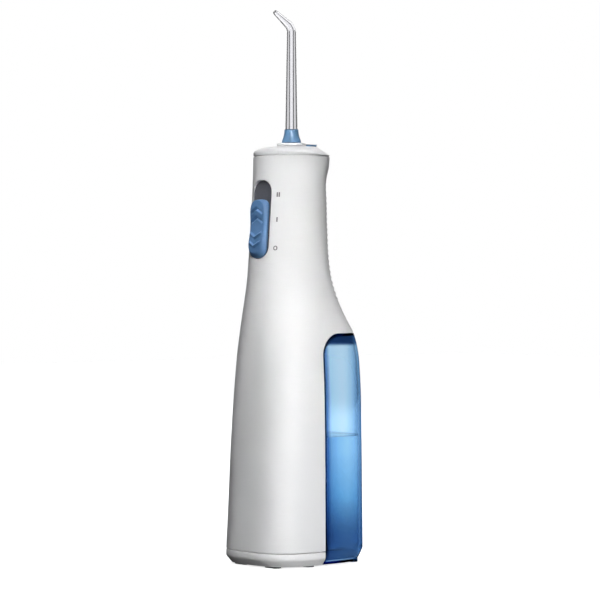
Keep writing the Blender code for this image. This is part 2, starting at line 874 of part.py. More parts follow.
def make_motor():
    can_profile = (
        (0.0, MOTOR_TOP),
        (MOTOR_RADIUS - 1.0, MOTOR_TOP),
        (MOTOR_RADIUS, MOTOR_TOP - 1.0),
        (MOTOR_RADIUS, MOTOR_BOTTOM),
        (0.0, MOTOR_BOTTOM),
    )
    place = (0.0, MOTOR_Y, 0.0)
    can = turned("motor_can", can_profile, steel("motor_steel"), place)
    bell_profile = (
        (0.0, MOTOR_BOTTOM - GAP),
        (10.6, MOTOR_BOTTOM - GAP),
        (10.6, 73.2),
        (0.0, 73.2),
    )
    bell = turned("motor_end_bell", bell_profile, grey_plastic("motor_bell"), place)
    for side in (-1.0, 1.0):
        tab = box(
            "motor_tab",
            (side * 7.5 - 0.3, MOTOR_Y - 1.2, 70.4),
            (side * 7.5 + 0.3, MOTOR_Y + 1.2, 74.0),
        )
        boolean(bell, tab, "UNION")
    shaft = rod(
        "motor_shaft",
        (0, MOTOR_Y, MOTOR_TOP + GAP),
        (0, MOTOR_Y, 111.0),
        SHAFT_RADIUS,
        steel("shaft_steel"),
        16,
    )
    outline = []
    for i in range(PINION_TEETH):
        for share, radius in ((0.0, 1.9), (0.32, 1.9), (0.5, PINION_RADIUS), (0.82, PINION_RADIUS)):
            turn = 2 * math.pi * (i + share) / PINION_TEETH
            outline.append((radius * math.cos(turn), radius * math.sin(turn)))
    centre = Matrix.Translation((0.0, MOTOR_Y * MM, 0.0))
    brass = material("pinion_brass", (0.75, 0.58, 0.25), 0.3, metallic=1.0)
    pinion = prism("motor_pinion", outline, 103.6, 109.2, brass, centre)
    bore = rod("pinion_bore", (0, MOTOR_Y, 100), (0, MOTOR_Y, 113), 1.1, None, 16)
    boolean(pinion, bore)
    hang(pivot("motor_axis", (0.0, MOTOR_Y, 105.0)), shaft, pinion)
    return can


def make_crank_gear():
    """A face gear: a disc with radial teeth on its front and a crank pin on its back."""
    bm = bmesh.new()
    slots = 2 * GEAR_TEETH
    rows = []
    for radius, y in (
        (1.6, GEAR_BACK),
        (1.6, GEAR_FRONT),
        (7.6, GEAR_FRONT),
        (GEAR_RADIUS, GEAR_FRONT),
        (GEAR_RADIUS, GEAR_BACK),
    ):
        row = []
        for i in range(slots):
            turn = 2 * math.pi * i / slots
            row.append(
                bm.verts.new(
                    (radius * math.cos(turn) * MM, y * MM, (CRANK_Z + radius * math.sin(turn)) * MM)
                )
            )
        rows.append(row)
    teeth = []
    for number, lower in enumerate(rows):
        upper = rows[(number + 1) % len(rows)]
        for i in range(slots):
            j = (i + 1) % slots
            face = bm.faces.new((lower[i], lower[j], upper[j], upper[i]))
            if number == 2 and i % 2 == 0:
                teeth.append(face)
    bmesh.ops.recalc_face_normals(bm, faces=bm.faces)
    for face in bmesh.ops.extrude_discrete_faces(bm, faces=teeth)["faces"]:
        bmesh.ops.translate(bm, vec=(0.0, -GEAR_TOOTH * MM, 0.0), verts=face.verts)
    white = material("gear_nylon", (0.80, 0.79, 0.72), 0.45)
    gear = mesh_object("crank_gear", bm, white)
    pin_z = CRANK_Z + CRANK_THROW
    pin_end = PUMP_Y - ROD_THICKNESS / 2 - GAP
    boolean(gear, rod("crank_pin", (0, -8.2, pin_z), (0, pin_end, pin_z), 1.3), "UNION")
    smooth(gear)
    hang(pivot("crank_axis", (0.0, GEAR_BACK, CRANK_Z)), gear)
    rod(
        "gear_axle",
        (0, -20.4, CRANK_Z),
        (0, GEAR_BACK + 0.4, CRANK_Z),
        AXLE_RADIUS,
        steel("axle_steel"),
        20,
    )
    return gear


def make_piston():
    top_dead_centre = CRANK_Z + CRANK_THROW
    wrist_z = top_dead_centre + ROD_LENGTH
    low, high = PUMP_Y - ROD_THICKNESS / 2, PUMP_Y + ROD_THICKNESS / 2
    ivory = material("rod_acetal", (0.78, 0.76, 0.70), 0.4)
    big = rod(
        "connecting_rod", (0, low, top_dead_centre), (0, high, top_dead_centre), 2.9, ivory
    )
    beam = box("rod_beam", (-1.2, low + 0.2, 121.0), (1.2, high - 0.2, 138.0))
    boolean(big, beam, "UNION")
    small = rod("rod_small_end", (0, low, wrist_z), (0, high, wrist_z), 2.2)
    boolean(big, small, "UNION")
    for name, z, radius in (("big_eye", top_dead_centre, 1.6), ("small_eye", wrist_z, 1.15)):
        boolean(big, rod(name, (0, -12.0, z), (0, 6.0, z), radius, None, 20))

    white = material("piston_acetal", (0.82, 0.82, 0.80), 0.35)
    piston = rod("piston", (0, PUMP_Y, 136.2), (0, PUMP_Y, 148.2), 3.5, white)
    fork = box("fork_slot", (-6.0, low - 0.25, 130.0), (6.0, high + 0.25, 142.2))
    boolean(piston, fork)
    boolean(piston, rod("wrist_hole", (0, -12, wrist_z), (0, 6, wrist_z), 1.0, None, 16))
    pin = rod(
        "wrist_pin",
        (0, PUMP_Y - 3.0, wrist_z),
        (0, PUMP_Y + 3.0, wrist_z),
        0.85,
        steel("wrist_steel"),
        16,
    )
    seal = turned(
        "piston_seal",
        ((0.0, 150.2), (3.2, 150.2), (3.7, 150.6), (3.7, 149.4), (3.3, 148.5), (0.0, 148.5)),
        black_rubber("piston_rubber"),
        (0.0, PUMP_Y, 0.0),
    )
    stroke = pivot("piston_axis", (0.0, PUMP_Y, wrist_z))
    hang(stroke, piston, pin, seal)
    swing = pivot("rod_axis", (0.0, PUMP_Y, wrist_z))
    hang(swing, big, parent=stroke)
    return piston


def make_pump():
    place = (0.0, PUMP_Y, 0.0)
    grey = grey_plastic("cylinder_grey")
    cylinder = turned(
        "pump_cylinder",
        (
            (CYLINDER_RADIUS, CYLINDER_TOP),
            (CYLINDER_RADIUS, CYLINDER_BOTTOM + 1.7),
            (6.0, CYLINDER_BOTTOM + 1.6),
            (6.0, CYLINDER_BOTTOM),
            (BORE_RADIUS, CYLINDER_BOTTOM),
            (BORE_RADIUS, CYLINDER_TOP),
        ),
        grey,
        place,
    )
    flange = rounded_box(12.2, 7.2, 2.0, (0.0, PUMP_Y), 3)
    base = prism("cylinder_flange", flange, CYLINDER_BOTTOM, CYLINDER_BOTTOM + 1.7)
    bore = rod("flange_bore", (0, PUMP_Y, 130), (0, PUMP_Y, 140), BORE_RADIUS + 0.4)
    boolean(base, bore)
    boolean(cylinder, base, "UNION")
    for x, y in screw_places():
        boolean(cylinder, rod("flange_hole", (x, y, 132), (x, y, 140), 1.1, None, 12))

    low = CYLINDER_TOP + GAP
    block = box(
        "pump_head",
        (-7.4, PUMP_Y - 6.2, low),
        (7.4, INLET_Y + 4.2, HEAD_BLOCK_TOP),
        grey_plastic("pump_head_grey"),
    )
    edges = block.modifiers.new("edges", "BEVEL")
    edges.width = 0.8 * MM
    edges.segments = 1
    outlet_low = 159.5
    for name, start, end, radius in (
        ("outlet_bore", (0, PUMP_Y, 149.0), (0, PUMP_Y, 162.0), 1.4),
        ("outlet_chamber", (0, PUMP_Y, outlet_low), (0, PUMP_Y, 170.0), 2.7),
        ("inlet_chamber", (0, INLET_Y, 149.0), (0, INLET_Y, 159.0), 2.7),
        ("cross_passage", (0, PUMP_Y, 157.4), (0, INLET_Y, 157.4), 1.0),
    ):
        boolean(block, rod(name, start, end, radius))

    seat_rise = math.sqrt(BALL_RADIUS**2 - 1.4**2) + GAP
    rubber = black_rubber("ball_rubber")
    out_ball = ball("outlet_ball", (0, PUMP_Y, outlet_low + seat_rise), BALL_RADIUS, rubber)
    inlet_top = 153.0
    in_rise = math.sqrt(BALL_RADIUS**2 - 1.1**2) + GAP
    in_ball = ball("inlet_ball", (0, INLET_Y, inlet_top + in_rise), BALL_RADIUS, rubber)
    for name, piece in (("outlet_axis", out_ball), ("inlet_axis", in_ball)):
        hang(pivot(name, piece.location / MM), piece)
    turned(
        "inlet_barb",
        (
            (2.4, inlet_top),
            (2.4, 151.0),
            (4.0, 151.0),
            (4.0, 149.8),
            (1.9, 149.8),
            (2.2, 146.6),
            (1.7, 144.0),
            (1.1, 144.0),
            (1.1, inlet_top),
        ),
        grey_plastic("inlet_grey"),
        (0.0, INLET_Y, 0.0),
        20,
    )
    turned(
        "outlet_barb",
        (
            (1.7, 174.6),
            (2.2, 172.0),
            (1.9, 168.6),
            (4.4, 168.6),
            (4.4, 167.3),
            (2.4, 167.3),
            (2.4, 165.4),
            (1.1, 165.4),
            (1.1, 174.6),
        ),
        grey_plastic("outlet_grey"),
        place,
        20,
    )
    return cylinder


def make_hoses():
    clear = material("hose_silicone", (0.80, 0.82, 0.82), 0.4, transmission=0.5)
    delivery = [
        (0.0, PUMP_Y, 174.9),
        (0.0, PUMP_Y, 179.0),
        (0.0, PUMP_Y / 2, 185.5),
        (0.0, 0.0, 191.5),
        (0.0, 0.0, 195.7),
    ]
    tube("delivery_hose", smooth_route(delivery, 13), 2.6, clear)
    suction = [
        (PORT_X, PORT_Y, 133.6),
        (PORT_X, PORT_Y - 0.8, 136.2),
        (PORT_X * 0.7, PORT_Y - 5.0, 138.4),
        (PORT_X * 0.2, INLET_Y + 2.8, 138.8),
        (0.0, INLET_Y, 141.0),
        (0.0, INLET_Y, 143.6),
    ]
    tube("suction_hose", smooth_route(suction, 17), 2.3, clear)
    port = (PORT_X, PORT_Y, 0.0)
    turned(
        "port_fitting",
        (
            (1.8, 133.2),
            (2.2, 130.6),
            (1.9, 128.6),
            (5.6, 128.6),
            (5.6, BAY_TOP + WALL + GAP),
            (3.4, BAY_TOP + WALL + GAP),
            (3.4, 118.6),
            (2.2, 118.4),
            (2.2, 112.0),
            (1.1, 112.0),
            (1.1, 133.2),
        ),
        grey_plastic("port_grey"),
        port,
    )
    turned("suction_tube", ring_profile(2.4, 1.5, 9.0, 111.7), clear, port, 16)
    turned(
        "suction_filter",
        ((2.6, 8.7), (4.2, 7.6), (4.2, 3.6), (1.4, 3.6), (1.4, 8.7)),
        grey_plastic("filter_grey"),
        port,
        20,
    )


# ---------------------------------------------------------------- reservoir


def make_reservoir():
    heights = body_heights(COVER_TOP, 126.0)
    outer_rings = [
        body_ring(COVER_TOP, 3.0, at=TANK_BOTTOM),
        body_ring(COVER_TOP, 0.9, at=3.6),
        *[body_ring(z) for z in heights],
    ]
    blue = material("tank_blue", (0.10, 0.36, 0.72), 0.08, transmission=0.9)
    tank = loft("reservoir_tank", outer_rings, blue)
    side = side_outline(0.0, TANK_TOP, BAY_CORNER - GAP, -10.0)
    boolean(tank, side_prism("tank_side", side), "INTERSECT")
    inner_rings = [
        body_ring(COVER_TOP, 3.4, at=TANK_FLOOR),
        body_ring(COVER_TOP, TANK_WALL + 0.2, at=6.2),
        *[body_ring(z, TANK_WALL) for z in heights],
    ]
    hollow = loft("tank_hollow", inner_rings)
    top = TANK_TOP - TANK_WALL
    within = side_outline(TANK_WALL, top, BAY_CORNER - GAP - TANK_WALL, -10.0)
    boolean(hollow, side_prism("tank_hollow_side", within), "INTERSECT")
    boolean(tank, hollow)
    low, high = (PORT_X, PORT_Y, 115.0), (PORT_X, PORT_Y, 130.0)
    boolean(tank, rod("tank_port", low, high, PORT_RADIUS, None, 32))
    seat = (PORT_X, PORT_Y, TANK_TOP - 0.9)
    boolean(tank, rod("seal_seat", seat, high, PORT_RADIUS + 1.5, None, 32))
    for x in (-14.0, 14.0):
        pad = rounded_box(4.5, 2.2, 1.0, (x, 29.0), 2)
        boolean(tank, prism("tank_foot", pad, 0.0, 2.0), "UNION")
    smooth(tank)
    seal = turned(
        "reservoir_seal",
        ring_profile(PORT_RADIUS + 1.3, PORT_RADIUS + 0.2, TANK_TOP - 0.7, TANK_TOP + 0.15),
        black_rubber("reservoir_rubber"),
        (PORT_X, PORT_Y, 0.0),
        32,
    )
    hang(pivot("reservoir_axis", (0.0, 20.0, TANK_TOP)), tank, seal)
    return tank


# ---------------------------------------------------------------- batteries and base


def make_batteries():
    steel_end = nickel("cell_nickel")
    for number, column in enumerate((-1, 0, 1), start=1):
        top = CELL_BOTTOM + CELL_BODY
        profile = (
            (0.0, top + 1.3),
            (2.6, top + 1.3),
            (2.6, top),
            (CELL_RADIUS - 0.8, top),
            (CELL_RADIUS, top - 0.8),
            (CELL_RADIUS, CELL_BOTTOM + 0.6),
            (CELL_RADIUS - 0.6, CELL_BOTTOM),
            (0.0, CELL_BOTTOM),
        )
        wrap = material(f"cell_{number}_wrap", (0.10, 0.10, 0.11), 0.4, metallic=0.3)
        turned(
            f"battery_cell_{number}", profile, wrap, (column * CELL_PITCH, CELL_Y, 0.0), 24
        )
    cradle = box(
        "battery_cradle", (-23.4, CELL_Y, 15.0), (23.4, -4.2, 66.1), grey_plastic("cradle")
    )
    for column in (-1, 0, 1):
        x = column * CELL_PITCH
        well = rod("cell_well", (x, CELL_Y, 10.0), (x, CELL_Y, 75.0), CELL_RADIUS + GAP)
        boolean(cradle, well)
    box("battery_link", (-20.0, -16.4, 66.5), (20.0, -10.8, 67.0), steel_end)


def spring_route(x, low, high):
    """A cone spring for one cell, from its wide seat to its narrow top."""
    turns, steps = 2.5, 9
    count = int(turns * steps) + 1
    points = []
    for i in range(count):
        share = i / (count - 1)
        angle = 2 * math.pi * i / steps
        radius = 4.2 - 1.8 * share
        points.append(
            (
                x + radius * math.cos(angle),
                CELL_Y + radius * math.sin(angle),
                low + share * (high - low),
            )
        )
    return points


def make_base_cover():
    edge = body_ring(COVER_TOP)
    rings = [
        body_ring(COVER_TOP, COVER_CHAMFER, at=COVER_BOTTOM),
        body_ring(COVER_TOP, 0.4, at=COVER_EDGE - 1.0),
        body_ring(COVER_TOP, at=COVER_EDGE),
        edge,
    ]
    cover = loft("base_cover", rings, white_plastic("base_cover_white"))
    rear = box("cover_rear_cut", (-50, -GAP, -5), (50, 60, 30))
    boolean(cover, rear)
    spigot_rings = [
        body_ring(COVER_TOP, WALL + GAP, at=5.0),
        body_ring(COVER_TOP, WALL + GAP, at=9.0),
        body_ring(COVER_TOP, 3.0, at=9.05),
        body_ring(COVER_TOP, 3.0, at=10.4),
        body_ring(COVER_TOP, WALL + GAP + 0.1, at=10.45),
        body_ring(COVER_TOP, WALL + GAP + 0.3, at=12.4),
    ]
    spigot = loft("cover_spigot", spigot_rings)
    spigot_cut = box("spigot_rear_cut", (-50, -GAP * 2 - WALL, -5), (50, 60, 30))
    boolean(spigot, spigot_cut)
    boolean(cover, spigot, "UNION")
    pocket = loft(
        "cover_pocket",
        [body_ring(COVER_TOP, 4.2, at=2.6), body_ring(COVER_TOP, 4.2, at=14.0)],
    )
    boolean(pocket, box("pocket_rear_cut", (-50, -4.2, -5), (50, 60, 30)))
    boolean(cover, pocket)
    hole = rod("lock_hole", (0, LOCK_Y, -3.0), (0, LOCK_Y, 3.2), 6.3, None, 28)
    boolean(cover, hole)
    smooth(cover)

    lock = turned(
        "cover_lock",
        (
            (0.0, 4.2),
            (7.4, 4.2),
            (7.4, 2.9),
            (6.0, 2.9),
            (6.0, 1.2),
            (5.7, COVER_BOTTOM),
            (0.0, COVER_BOTTOM),
        ),
        grey_plastic("lock_grey"),
        (0.0, LOCK_Y, 0.0),
    )
    boolean(lock, box("lock_arm", (-9.6, LOCK_Y - 1.8, 4.0), (9.6, LOCK_Y + 1.8, 5.6)), "UNION")
    coin = box("coin_slot", (-4.6, LOCK_Y - 0.8, 0.0), (4.6, LOCK_Y + 0.8, 2.1))
    boolean(lock, coin)

    seal_rings = [
        body_ring(COVER_TOP, 2.85, at=9.3),
        body_ring(COVER_TOP, 1.95, at=9.5),
        body_ring(COVER_TOP, 1.95, at=10.0),
        body_ring(COVER_TOP, 2.85, at=10.2),
    ]
    seal = loft("base_cover_seal", seal_rings, black_rubber("cover_rubber"), closed=True)
    boolean(seal, box("seal_rear_cut", (-50, -2.6, 5), (50, 60, 15)))

    carrier_rings = [body_ring(COVER_TOP, 4.6, at=z) for z in (8.4, 9.6)]
    carrier = loft("contact_carrier", carrier_rings, grey_plastic("carrier_grey"))
    boolean(carrier, box("carrier_rear_cut", (-50, -4.6, 5), (50, 60, 15)))

    moving = [cover, seal, carrier]
    for number, column in enumerate((-1, 0, 1), start=1):
        x = column * CELL_PITCH
        route = spring_route(x, 10.3, CELL_BOTTOM - 0.7)
        name = f"battery_spring_{number}"
        moving.append(tube(name, route, 0.4, nickel(f"{name}_nickel"), 0))
    for number, (x, y) in enumerate(FOOT_PLACES, start=1):
        pad = rounded_box(FOOT_SIZE[0] / 2, FOOT_SIZE[1] / 2, 1.2, (x, y), 3)
        name = f"foot_{number}"
        moving.append(prism(name, pad, 0.0, FOOT_HEIGHT, black_rubber(f"{name}_rubber")))
    drop = pivot("base_cover_axis", (0.0, LOCK_Y, COVER_TOP))
    hang(drop, *moving)
    hang(pivot("lock_axis", (0.0, LOCK_Y, 3.0)), lock, parent=drop)
    return cover


def make_leads():
    """Two insulated leads: battery contact to switch board, and board to motor."""
    red = material("lead_red", (0.55, 0.03, 0.03), 0.45)
    black = material("lead_black", (0.02, 0.02, 0.02), 0.45)
    rising = [
        (17.5, -17.6, 67.8),
        (18.4, -17.6, 74.0),
        (18.0, -15.5, 100.0),
        (16.8, -15.0, 125.0),
        (12.0, -14.5, 145.0),
        (6.0, -13.6, 160.4),
    ]
    returning = [
        (-8.6, MOTOR_Y, 71.4),
        (-14.4, MOTOR_Y - 1.5, 72.4),
        (-17.6, -15.5, 82.0),
        (-17.4, -15.4, 110.0),
        (-15.0, -15.2, 130.0),
        (-6.0, -13.6, 160.4),
    ]
    tube("lead_red", smooth_route(rising, 24), 0.6, red, 0)
    tube("lead_black", smooth_route(returning, 24), 0.6, black, 0)


def centre_on_footprint():
    for obj in bpy.data.objects:
        if obj.parent is None:
            obj.location.y -= FOOTPRINT_SHIFT * MM


def main():
    global PARTS, CUTTERS
    clear_scene()
    PARTS = new_collection("water_flosser")
    CUTTERS = new_collection("cutters")
    make_handle_shell()
    make_head_cap()
    make_switch()
    make_tip_socket()
    make_jet_tip()
    make_eject()
    make_head_bridge()
    make_chassis()
    make_chassis_screws()
    make_motor()
    make_crank_gear()
    make_piston()
    make_pump()
    make_hoses()
    make_reservoir()
    make_batteries()
    make_base_cover()
    make_leads()
    centre_on_footprint()


main()
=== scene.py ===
# %% [markdown]
# # A cordless water flosser
# This notebook dresses a finished mechanical model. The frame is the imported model: its bodies
# already move on their joints, so each cell adds one visible piece, or one finish, at the place
# that the frame gives. Lengths are in millimetres, and only `to_frame` turns them into metres.
# Y is measured from the upright shaft of the jet tip, because every round piece of the head
# turns about it. An edge sharper than CREASE degrees is shaded as an edge, and BEYOND is a
# distance well outside the skin, for tools that cut right through.

# %% Load the frame
import json
import math

import bmesh
import bpy
import numpy as np
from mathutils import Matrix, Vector


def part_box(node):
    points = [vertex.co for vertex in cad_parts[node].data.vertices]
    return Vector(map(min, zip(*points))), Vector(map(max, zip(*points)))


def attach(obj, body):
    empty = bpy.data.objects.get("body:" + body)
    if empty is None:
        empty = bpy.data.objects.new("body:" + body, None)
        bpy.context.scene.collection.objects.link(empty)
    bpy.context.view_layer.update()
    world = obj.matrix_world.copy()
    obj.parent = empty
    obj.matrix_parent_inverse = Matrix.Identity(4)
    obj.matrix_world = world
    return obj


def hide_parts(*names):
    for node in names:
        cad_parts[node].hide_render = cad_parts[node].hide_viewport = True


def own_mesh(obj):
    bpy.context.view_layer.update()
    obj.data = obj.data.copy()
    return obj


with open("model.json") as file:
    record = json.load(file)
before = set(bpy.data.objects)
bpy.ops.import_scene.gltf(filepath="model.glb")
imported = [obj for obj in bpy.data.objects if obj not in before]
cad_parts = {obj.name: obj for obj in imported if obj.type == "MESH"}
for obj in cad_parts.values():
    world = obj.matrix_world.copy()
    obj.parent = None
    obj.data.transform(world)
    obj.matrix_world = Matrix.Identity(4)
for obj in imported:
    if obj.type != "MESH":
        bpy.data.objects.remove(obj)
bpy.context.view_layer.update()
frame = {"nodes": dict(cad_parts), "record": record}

MM = 0.001
CREASE = 32.0
BEYOND = 60.0
socket_low, socket_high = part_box("tip_socket")
AXIS_Y = (socket_low.y + socket_high.y) / 2 / MM
print("tip axis is at Y =", round(AXIS_Y, 2), "mm")

# %% [markdown]
# ## Small tools for making meshes
# A moulded shell is easiest as a loft: rings of points, joined ring to ring. A turned piece is
# the same thing with round rings, and a button is a stack of outlines that shrink where the
# edge is rolled. Every piece below comes from these few helpers, which always weld doubled
# points and turn the faces outwards, so the result is one closed skin.


# %% Make one mesh from points and faces
def to_frame(points):
    """Millimetres round the tip's axis, as metres in the frame."""
    return (np.asarray(points, float) + (0.0, AXIS_Y, 0.0)) * MM


def piece(name, points, faces, finish=None, crease=CREASE):
    data = bpy.data.meshes.new(name)
    data.from_pydata(to_frame(points).tolist(), [], faces)
    bm = bmesh.new()
    bm.from_mesh(data)
    bmesh.ops.remove_doubles(bm, verts=bm.verts, dist=1e-7)
    bmesh.ops.recalc_face_normals(bm, faces=bm.faces)
    bm.to_mesh(data)
    bm.free()
    obj = bpy.data.objects.new(name, data)
    bpy.context.scene.collection.objects.link(obj)
    if finish is not None:
        data.materials.append(finish)
    data.shade_smooth()
    data.set_sharp_from_angle(angle=math.radians(crease))
    return obj


def loft(name, rings, finish=None, closed=False, crease=CREASE):
    """Joins rings of equally many points. A closed loft joins the last ring to the first."""
    rings = np.asarray(rings, float)
    rows, around = rings.shape[:2]
    faces = []
    for row in range(rows if closed else rows - 1):
        low, high = row * around, (row + 1) % rows * around
        for i in range(around):
            j = (i + 1) % around
            faces.append((low + i, low + j, high + j, high + i))
    if not closed:
        faces.append(tuple(range(around)))
        faces.append(tuple(range((rows - 1) * around, rows * around)))
    return piece(name, rings.reshape(-1, 3), faces, finish, crease)


# %% Settle modifiers, cut and join
def settle(obj, crease=None):
    """Makes the evaluated shape the object's own plain mesh."""
    graph = bpy.context.evaluated_depsgraph_get()
    data = bpy.data.meshes.new_from_object(obj.evaluated_get(graph))
    obj.modifiers.clear()
    obj.data = data
    if crease is not None:
        data.set_sharp_from_angle(angle=math.radians(crease))
    return obj


def carve(target, tool, operation="DIFFERENCE", crease=CREASE):
    cut = target.modifiers.new("cut", "BOOLEAN")
    cut.operation = operation
    cut.solver = "MANIFOLD"
    cut.object = tool
    settle(target, crease)
    bpy.data.objects.remove(tool, do_unlink=True)
    return target


def roll_edges(obj, width, segments, angle=50.0):
    """Rolls every sharp edge, as a mould's polished corners do."""
    rolled = obj.modifiers.new("rolled edges", "BEVEL")
    rolled.width = width * MM
    rolled.segments = segments
    rolled.limit_method = "ANGLE"
    rolled.angle_limit = math.radians(angle)
    return settle(obj, CREASE)


# %% Nodes and sums in a tree
def wire(tree, value, socket):
    """Sets a socket to a number or a colour, or joins another node's output to it."""
    if isinstance(value, bpy.types.NodeSocket):
        tree.links.new(value, socket)
    else:
        socket.default_value = value


def node(tree, kind, **inputs):
    """A new node with its inputs set. An underscore stands for a space in an input's name."""
    made = tree.nodes.new(kind)
    for name, value in inputs.items():
        wire(tree, value, made.inputs[name.replace("_", " ")])
    return made


def maths(tree, operation, *values):
    made = tree.nodes.new("ShaderNodeMath")
    made.operation = operation
    for socket, value in zip(made.inputs, values):
        wire(tree, value, socket)
    return made.outputs["Value"]


# %% Outlines
def arc(centre, radius, start, end, steps):
    turns = np.radians(np.linspace(start, end, steps + 1))
    return [(centre[0] + radius * math.cos(t), centre[1] + radius * math.sin(t)) for t in turns]


def soft_arch(power, steps=48):
    """Half a superellipse of half width 1, from right to left. A power of 2 is a half circle."""
    turns = np.radians(np.linspace(0.0, 180.0, steps + 1))
    c, s = np.cos(turns), np.sin(turns)
    return np.sign(c) * np.abs(c) ** (2.0 / power), np.abs(s) ** (2.0 / power)


def soft_slot(half_width, half_length, power=2.45):
    """A slot whose ends are a little squarer than half circles."""
    across, bow = soft_arch(power)
    over = half_width * np.column_stack([across, bow]) + (0.0, half_length - half_width)
    return np.vstack([over, -over])


def rounded_box(half_x, half_y, radius, middle=(0.0, 0.0), steps=8):
    x, y = half_x - radius, half_y - radius
    corners = ((x, y, 0), (-x, y, 90), (-x, -y, 180), (x, -y, 270))
    return [
        point
        for cx, cy, turn in corners
        for point in arc((middle[0] + cx, middle[1] + cy), radius, turn, turn + 90, steps)
    ]


def shrink(outline, inset):
    """Moves each point of a loop that runs anticlockwise inwards, square to the loop."""
    points = np.asarray(outline, float)
    along = np.roll(points, -1, axis=0) - np.roll(points, 1, axis=0)
    along /= np.linalg.norm(along, axis=1)[:, None]
    return points + inset * np.stack([-along[:, 1], along[:, 0]], axis=1)


def stack(name, outline, levels, finish=None, place=None):
    """A stack of one outline at several (height, inset) levels. place moves a point of the
    outline's own frame into the model."""
    rings = []
    for height, inset in levels:
        flat = shrink(outline, inset)
        ring = np.column_stack([flat, np.full(len(flat), height)])
        rings.append(place(ring) if place else ring)
    return loft(name, rings, finish)


def rolled_levels(low, high, radius, steps=4):
    """Levels of a plain stack whose top edge is rolled over."""
    turns = np.linspace(0.0, math.pi / 2, steps + 1)
    top = [(high - radius * (1 - math.sin(t)), radius * (1 - math.cos(t))) for t in turns]
    return [(low, 0.0), *top]


# %% Turned pieces
def level_ring(x, y, height):
    return np.stack([x, y, np.full(len(x), height)], axis=1)


def between(first, last, share):
    return first + (last - first) * share


def softened(corners, reach, steps):
    """A closed profile with each corner rounded off."""
    corners = np.asarray(corners, float)
    profile = []
    for i, corner in enumerate(corners):
        before, after = corners[i - 1], corners[(i + 1) % len(corners)]
        if corner[0] <= 0.0:
            profile.append(corner)
            continue
        ends = []
        for other in (before, after):
            length = np.linalg.norm(other - corner)
            ends.append(corner + (other - corner) * min(reach, 0.42 * length) / length)
        for t in np.linspace(0.0, 1.0, steps + 1):
            profile.append((1 - t) ** 2 * ends[0] + 2 * t * (1 - t) * corner + t * t * ends[1])
    return profile


def turned(name, profile, finish=None, centre_y=0.0, segments=96, centre_x=0.0):
    """A profile of (radius, height) pairs turned about an upright axis."""
    turns = np.linspace(0.0, 2 * math.pi, segments, endpoint=False)
    c, s = np.cos(turns), np.sin(turns)
    rings = [level_ring(centre_x + radius * c, centre_y + radius * s, z) for radius, z in profile]
    return loft(name, rings, finish, closed=profile[0][0] > 0.0)


print("tools ready")

# %% [markdown]
# ## Finishes
# A moulded plastic is never one flat colour: its colour drifts a little over a hand's width,
# the spark-eroded tool leaves a fine grain, and the grain makes the gloss uneven. One function
# makes that family of finishes. The drift, the gloss and the grain are noise on Object
# coordinates, and all that is the same everywhere is set on the shader's own sockets.


# %% Moulded plastics, rubbers and metals
DRIFT_LUMPS, GLOSS_LUMPS = 28.0, 420.0
GRAIN_DEPTH = 0.02
finishes = {}


def new_finish(name):
    made = finishes[name] = bpy.data.materials.new(name)
    made.use_nodes = True
    return made, made.node_tree, made.node_tree.nodes["Principled BSDF"]


def noise(tree, scale, detail=2.0, stretch=(1.0, 1.0, 1.0)):
    """Noise on Object coordinates: scale is in lumps per metre."""
    place = node(tree, "ShaderNodeTexCoord").outputs["Object"]
    turn = node(tree, "ShaderNodeMapping", Vector=place, Scale=stretch).outputs["Vector"]
    return node(tree, "ShaderNodeTexNoise", Vector=turn, Scale=scale, Detail=detail).outputs["Fac"]


def uneven(tree, shader, rough, gloss, grain, strength, depth):
    """Gloss between two roughnesses, and a bump. Each follows its own noise."""
    spread = node(tree, "ShaderNodeMapRange", Value=gloss, To_Min=rough[0], To_Max=rough[1])
    bump = node(tree, "ShaderNodeBump", Height=grain, Strength=strength, Distance=depth * MM)
    tree.links.new(spread.outputs["Result"], shader.inputs["Roughness"])
    tree.links.new(bump.outputs["Normal"], shader.inputs["Normal"])


def moulded(name, colour, rough, drift=0.05, grain=0.15, grain_scale=2600.0, stretch=(1, 1, 1), **fixed):
    """colour drifts by the share drift, rough is (low, high), grain is the bump's strength."""
    made, tree, shader = new_finish(name)
    tones = node(tree, "ShaderNodeValToRGB", Fac=noise(tree, DRIFT_LUMPS, 3.0))
    for stop, place, share in zip(tones.color_ramp.elements, (0.3, 0.7), (1.0 - drift, 1.0 + drift)):
        stop.position = place
        stop.color = (*[min(1.0, c * share) for c in colour], 1.0)
    tree.links.new(tones.outputs["Color"], shader.inputs["Base Color"])
    gloss = noise(tree, GLOSS_LUMPS, 4.0, stretch)
    uneven(tree, shader, rough, gloss, noise(tree, grain_scale, 2.0, stretch), grain, GRAIN_DEPTH)
    for socket, value in fixed.items():
        shader.inputs[socket.replace("_", " ")].default_value = value
    return made


def metal(name, colour, rough):
    """Drawn metal: its grain is stretched up the piece."""
    return moulded(name, colour, rough, 0.04, 0.2, 900.0, (1, 1, 8), Metallic=1.0)


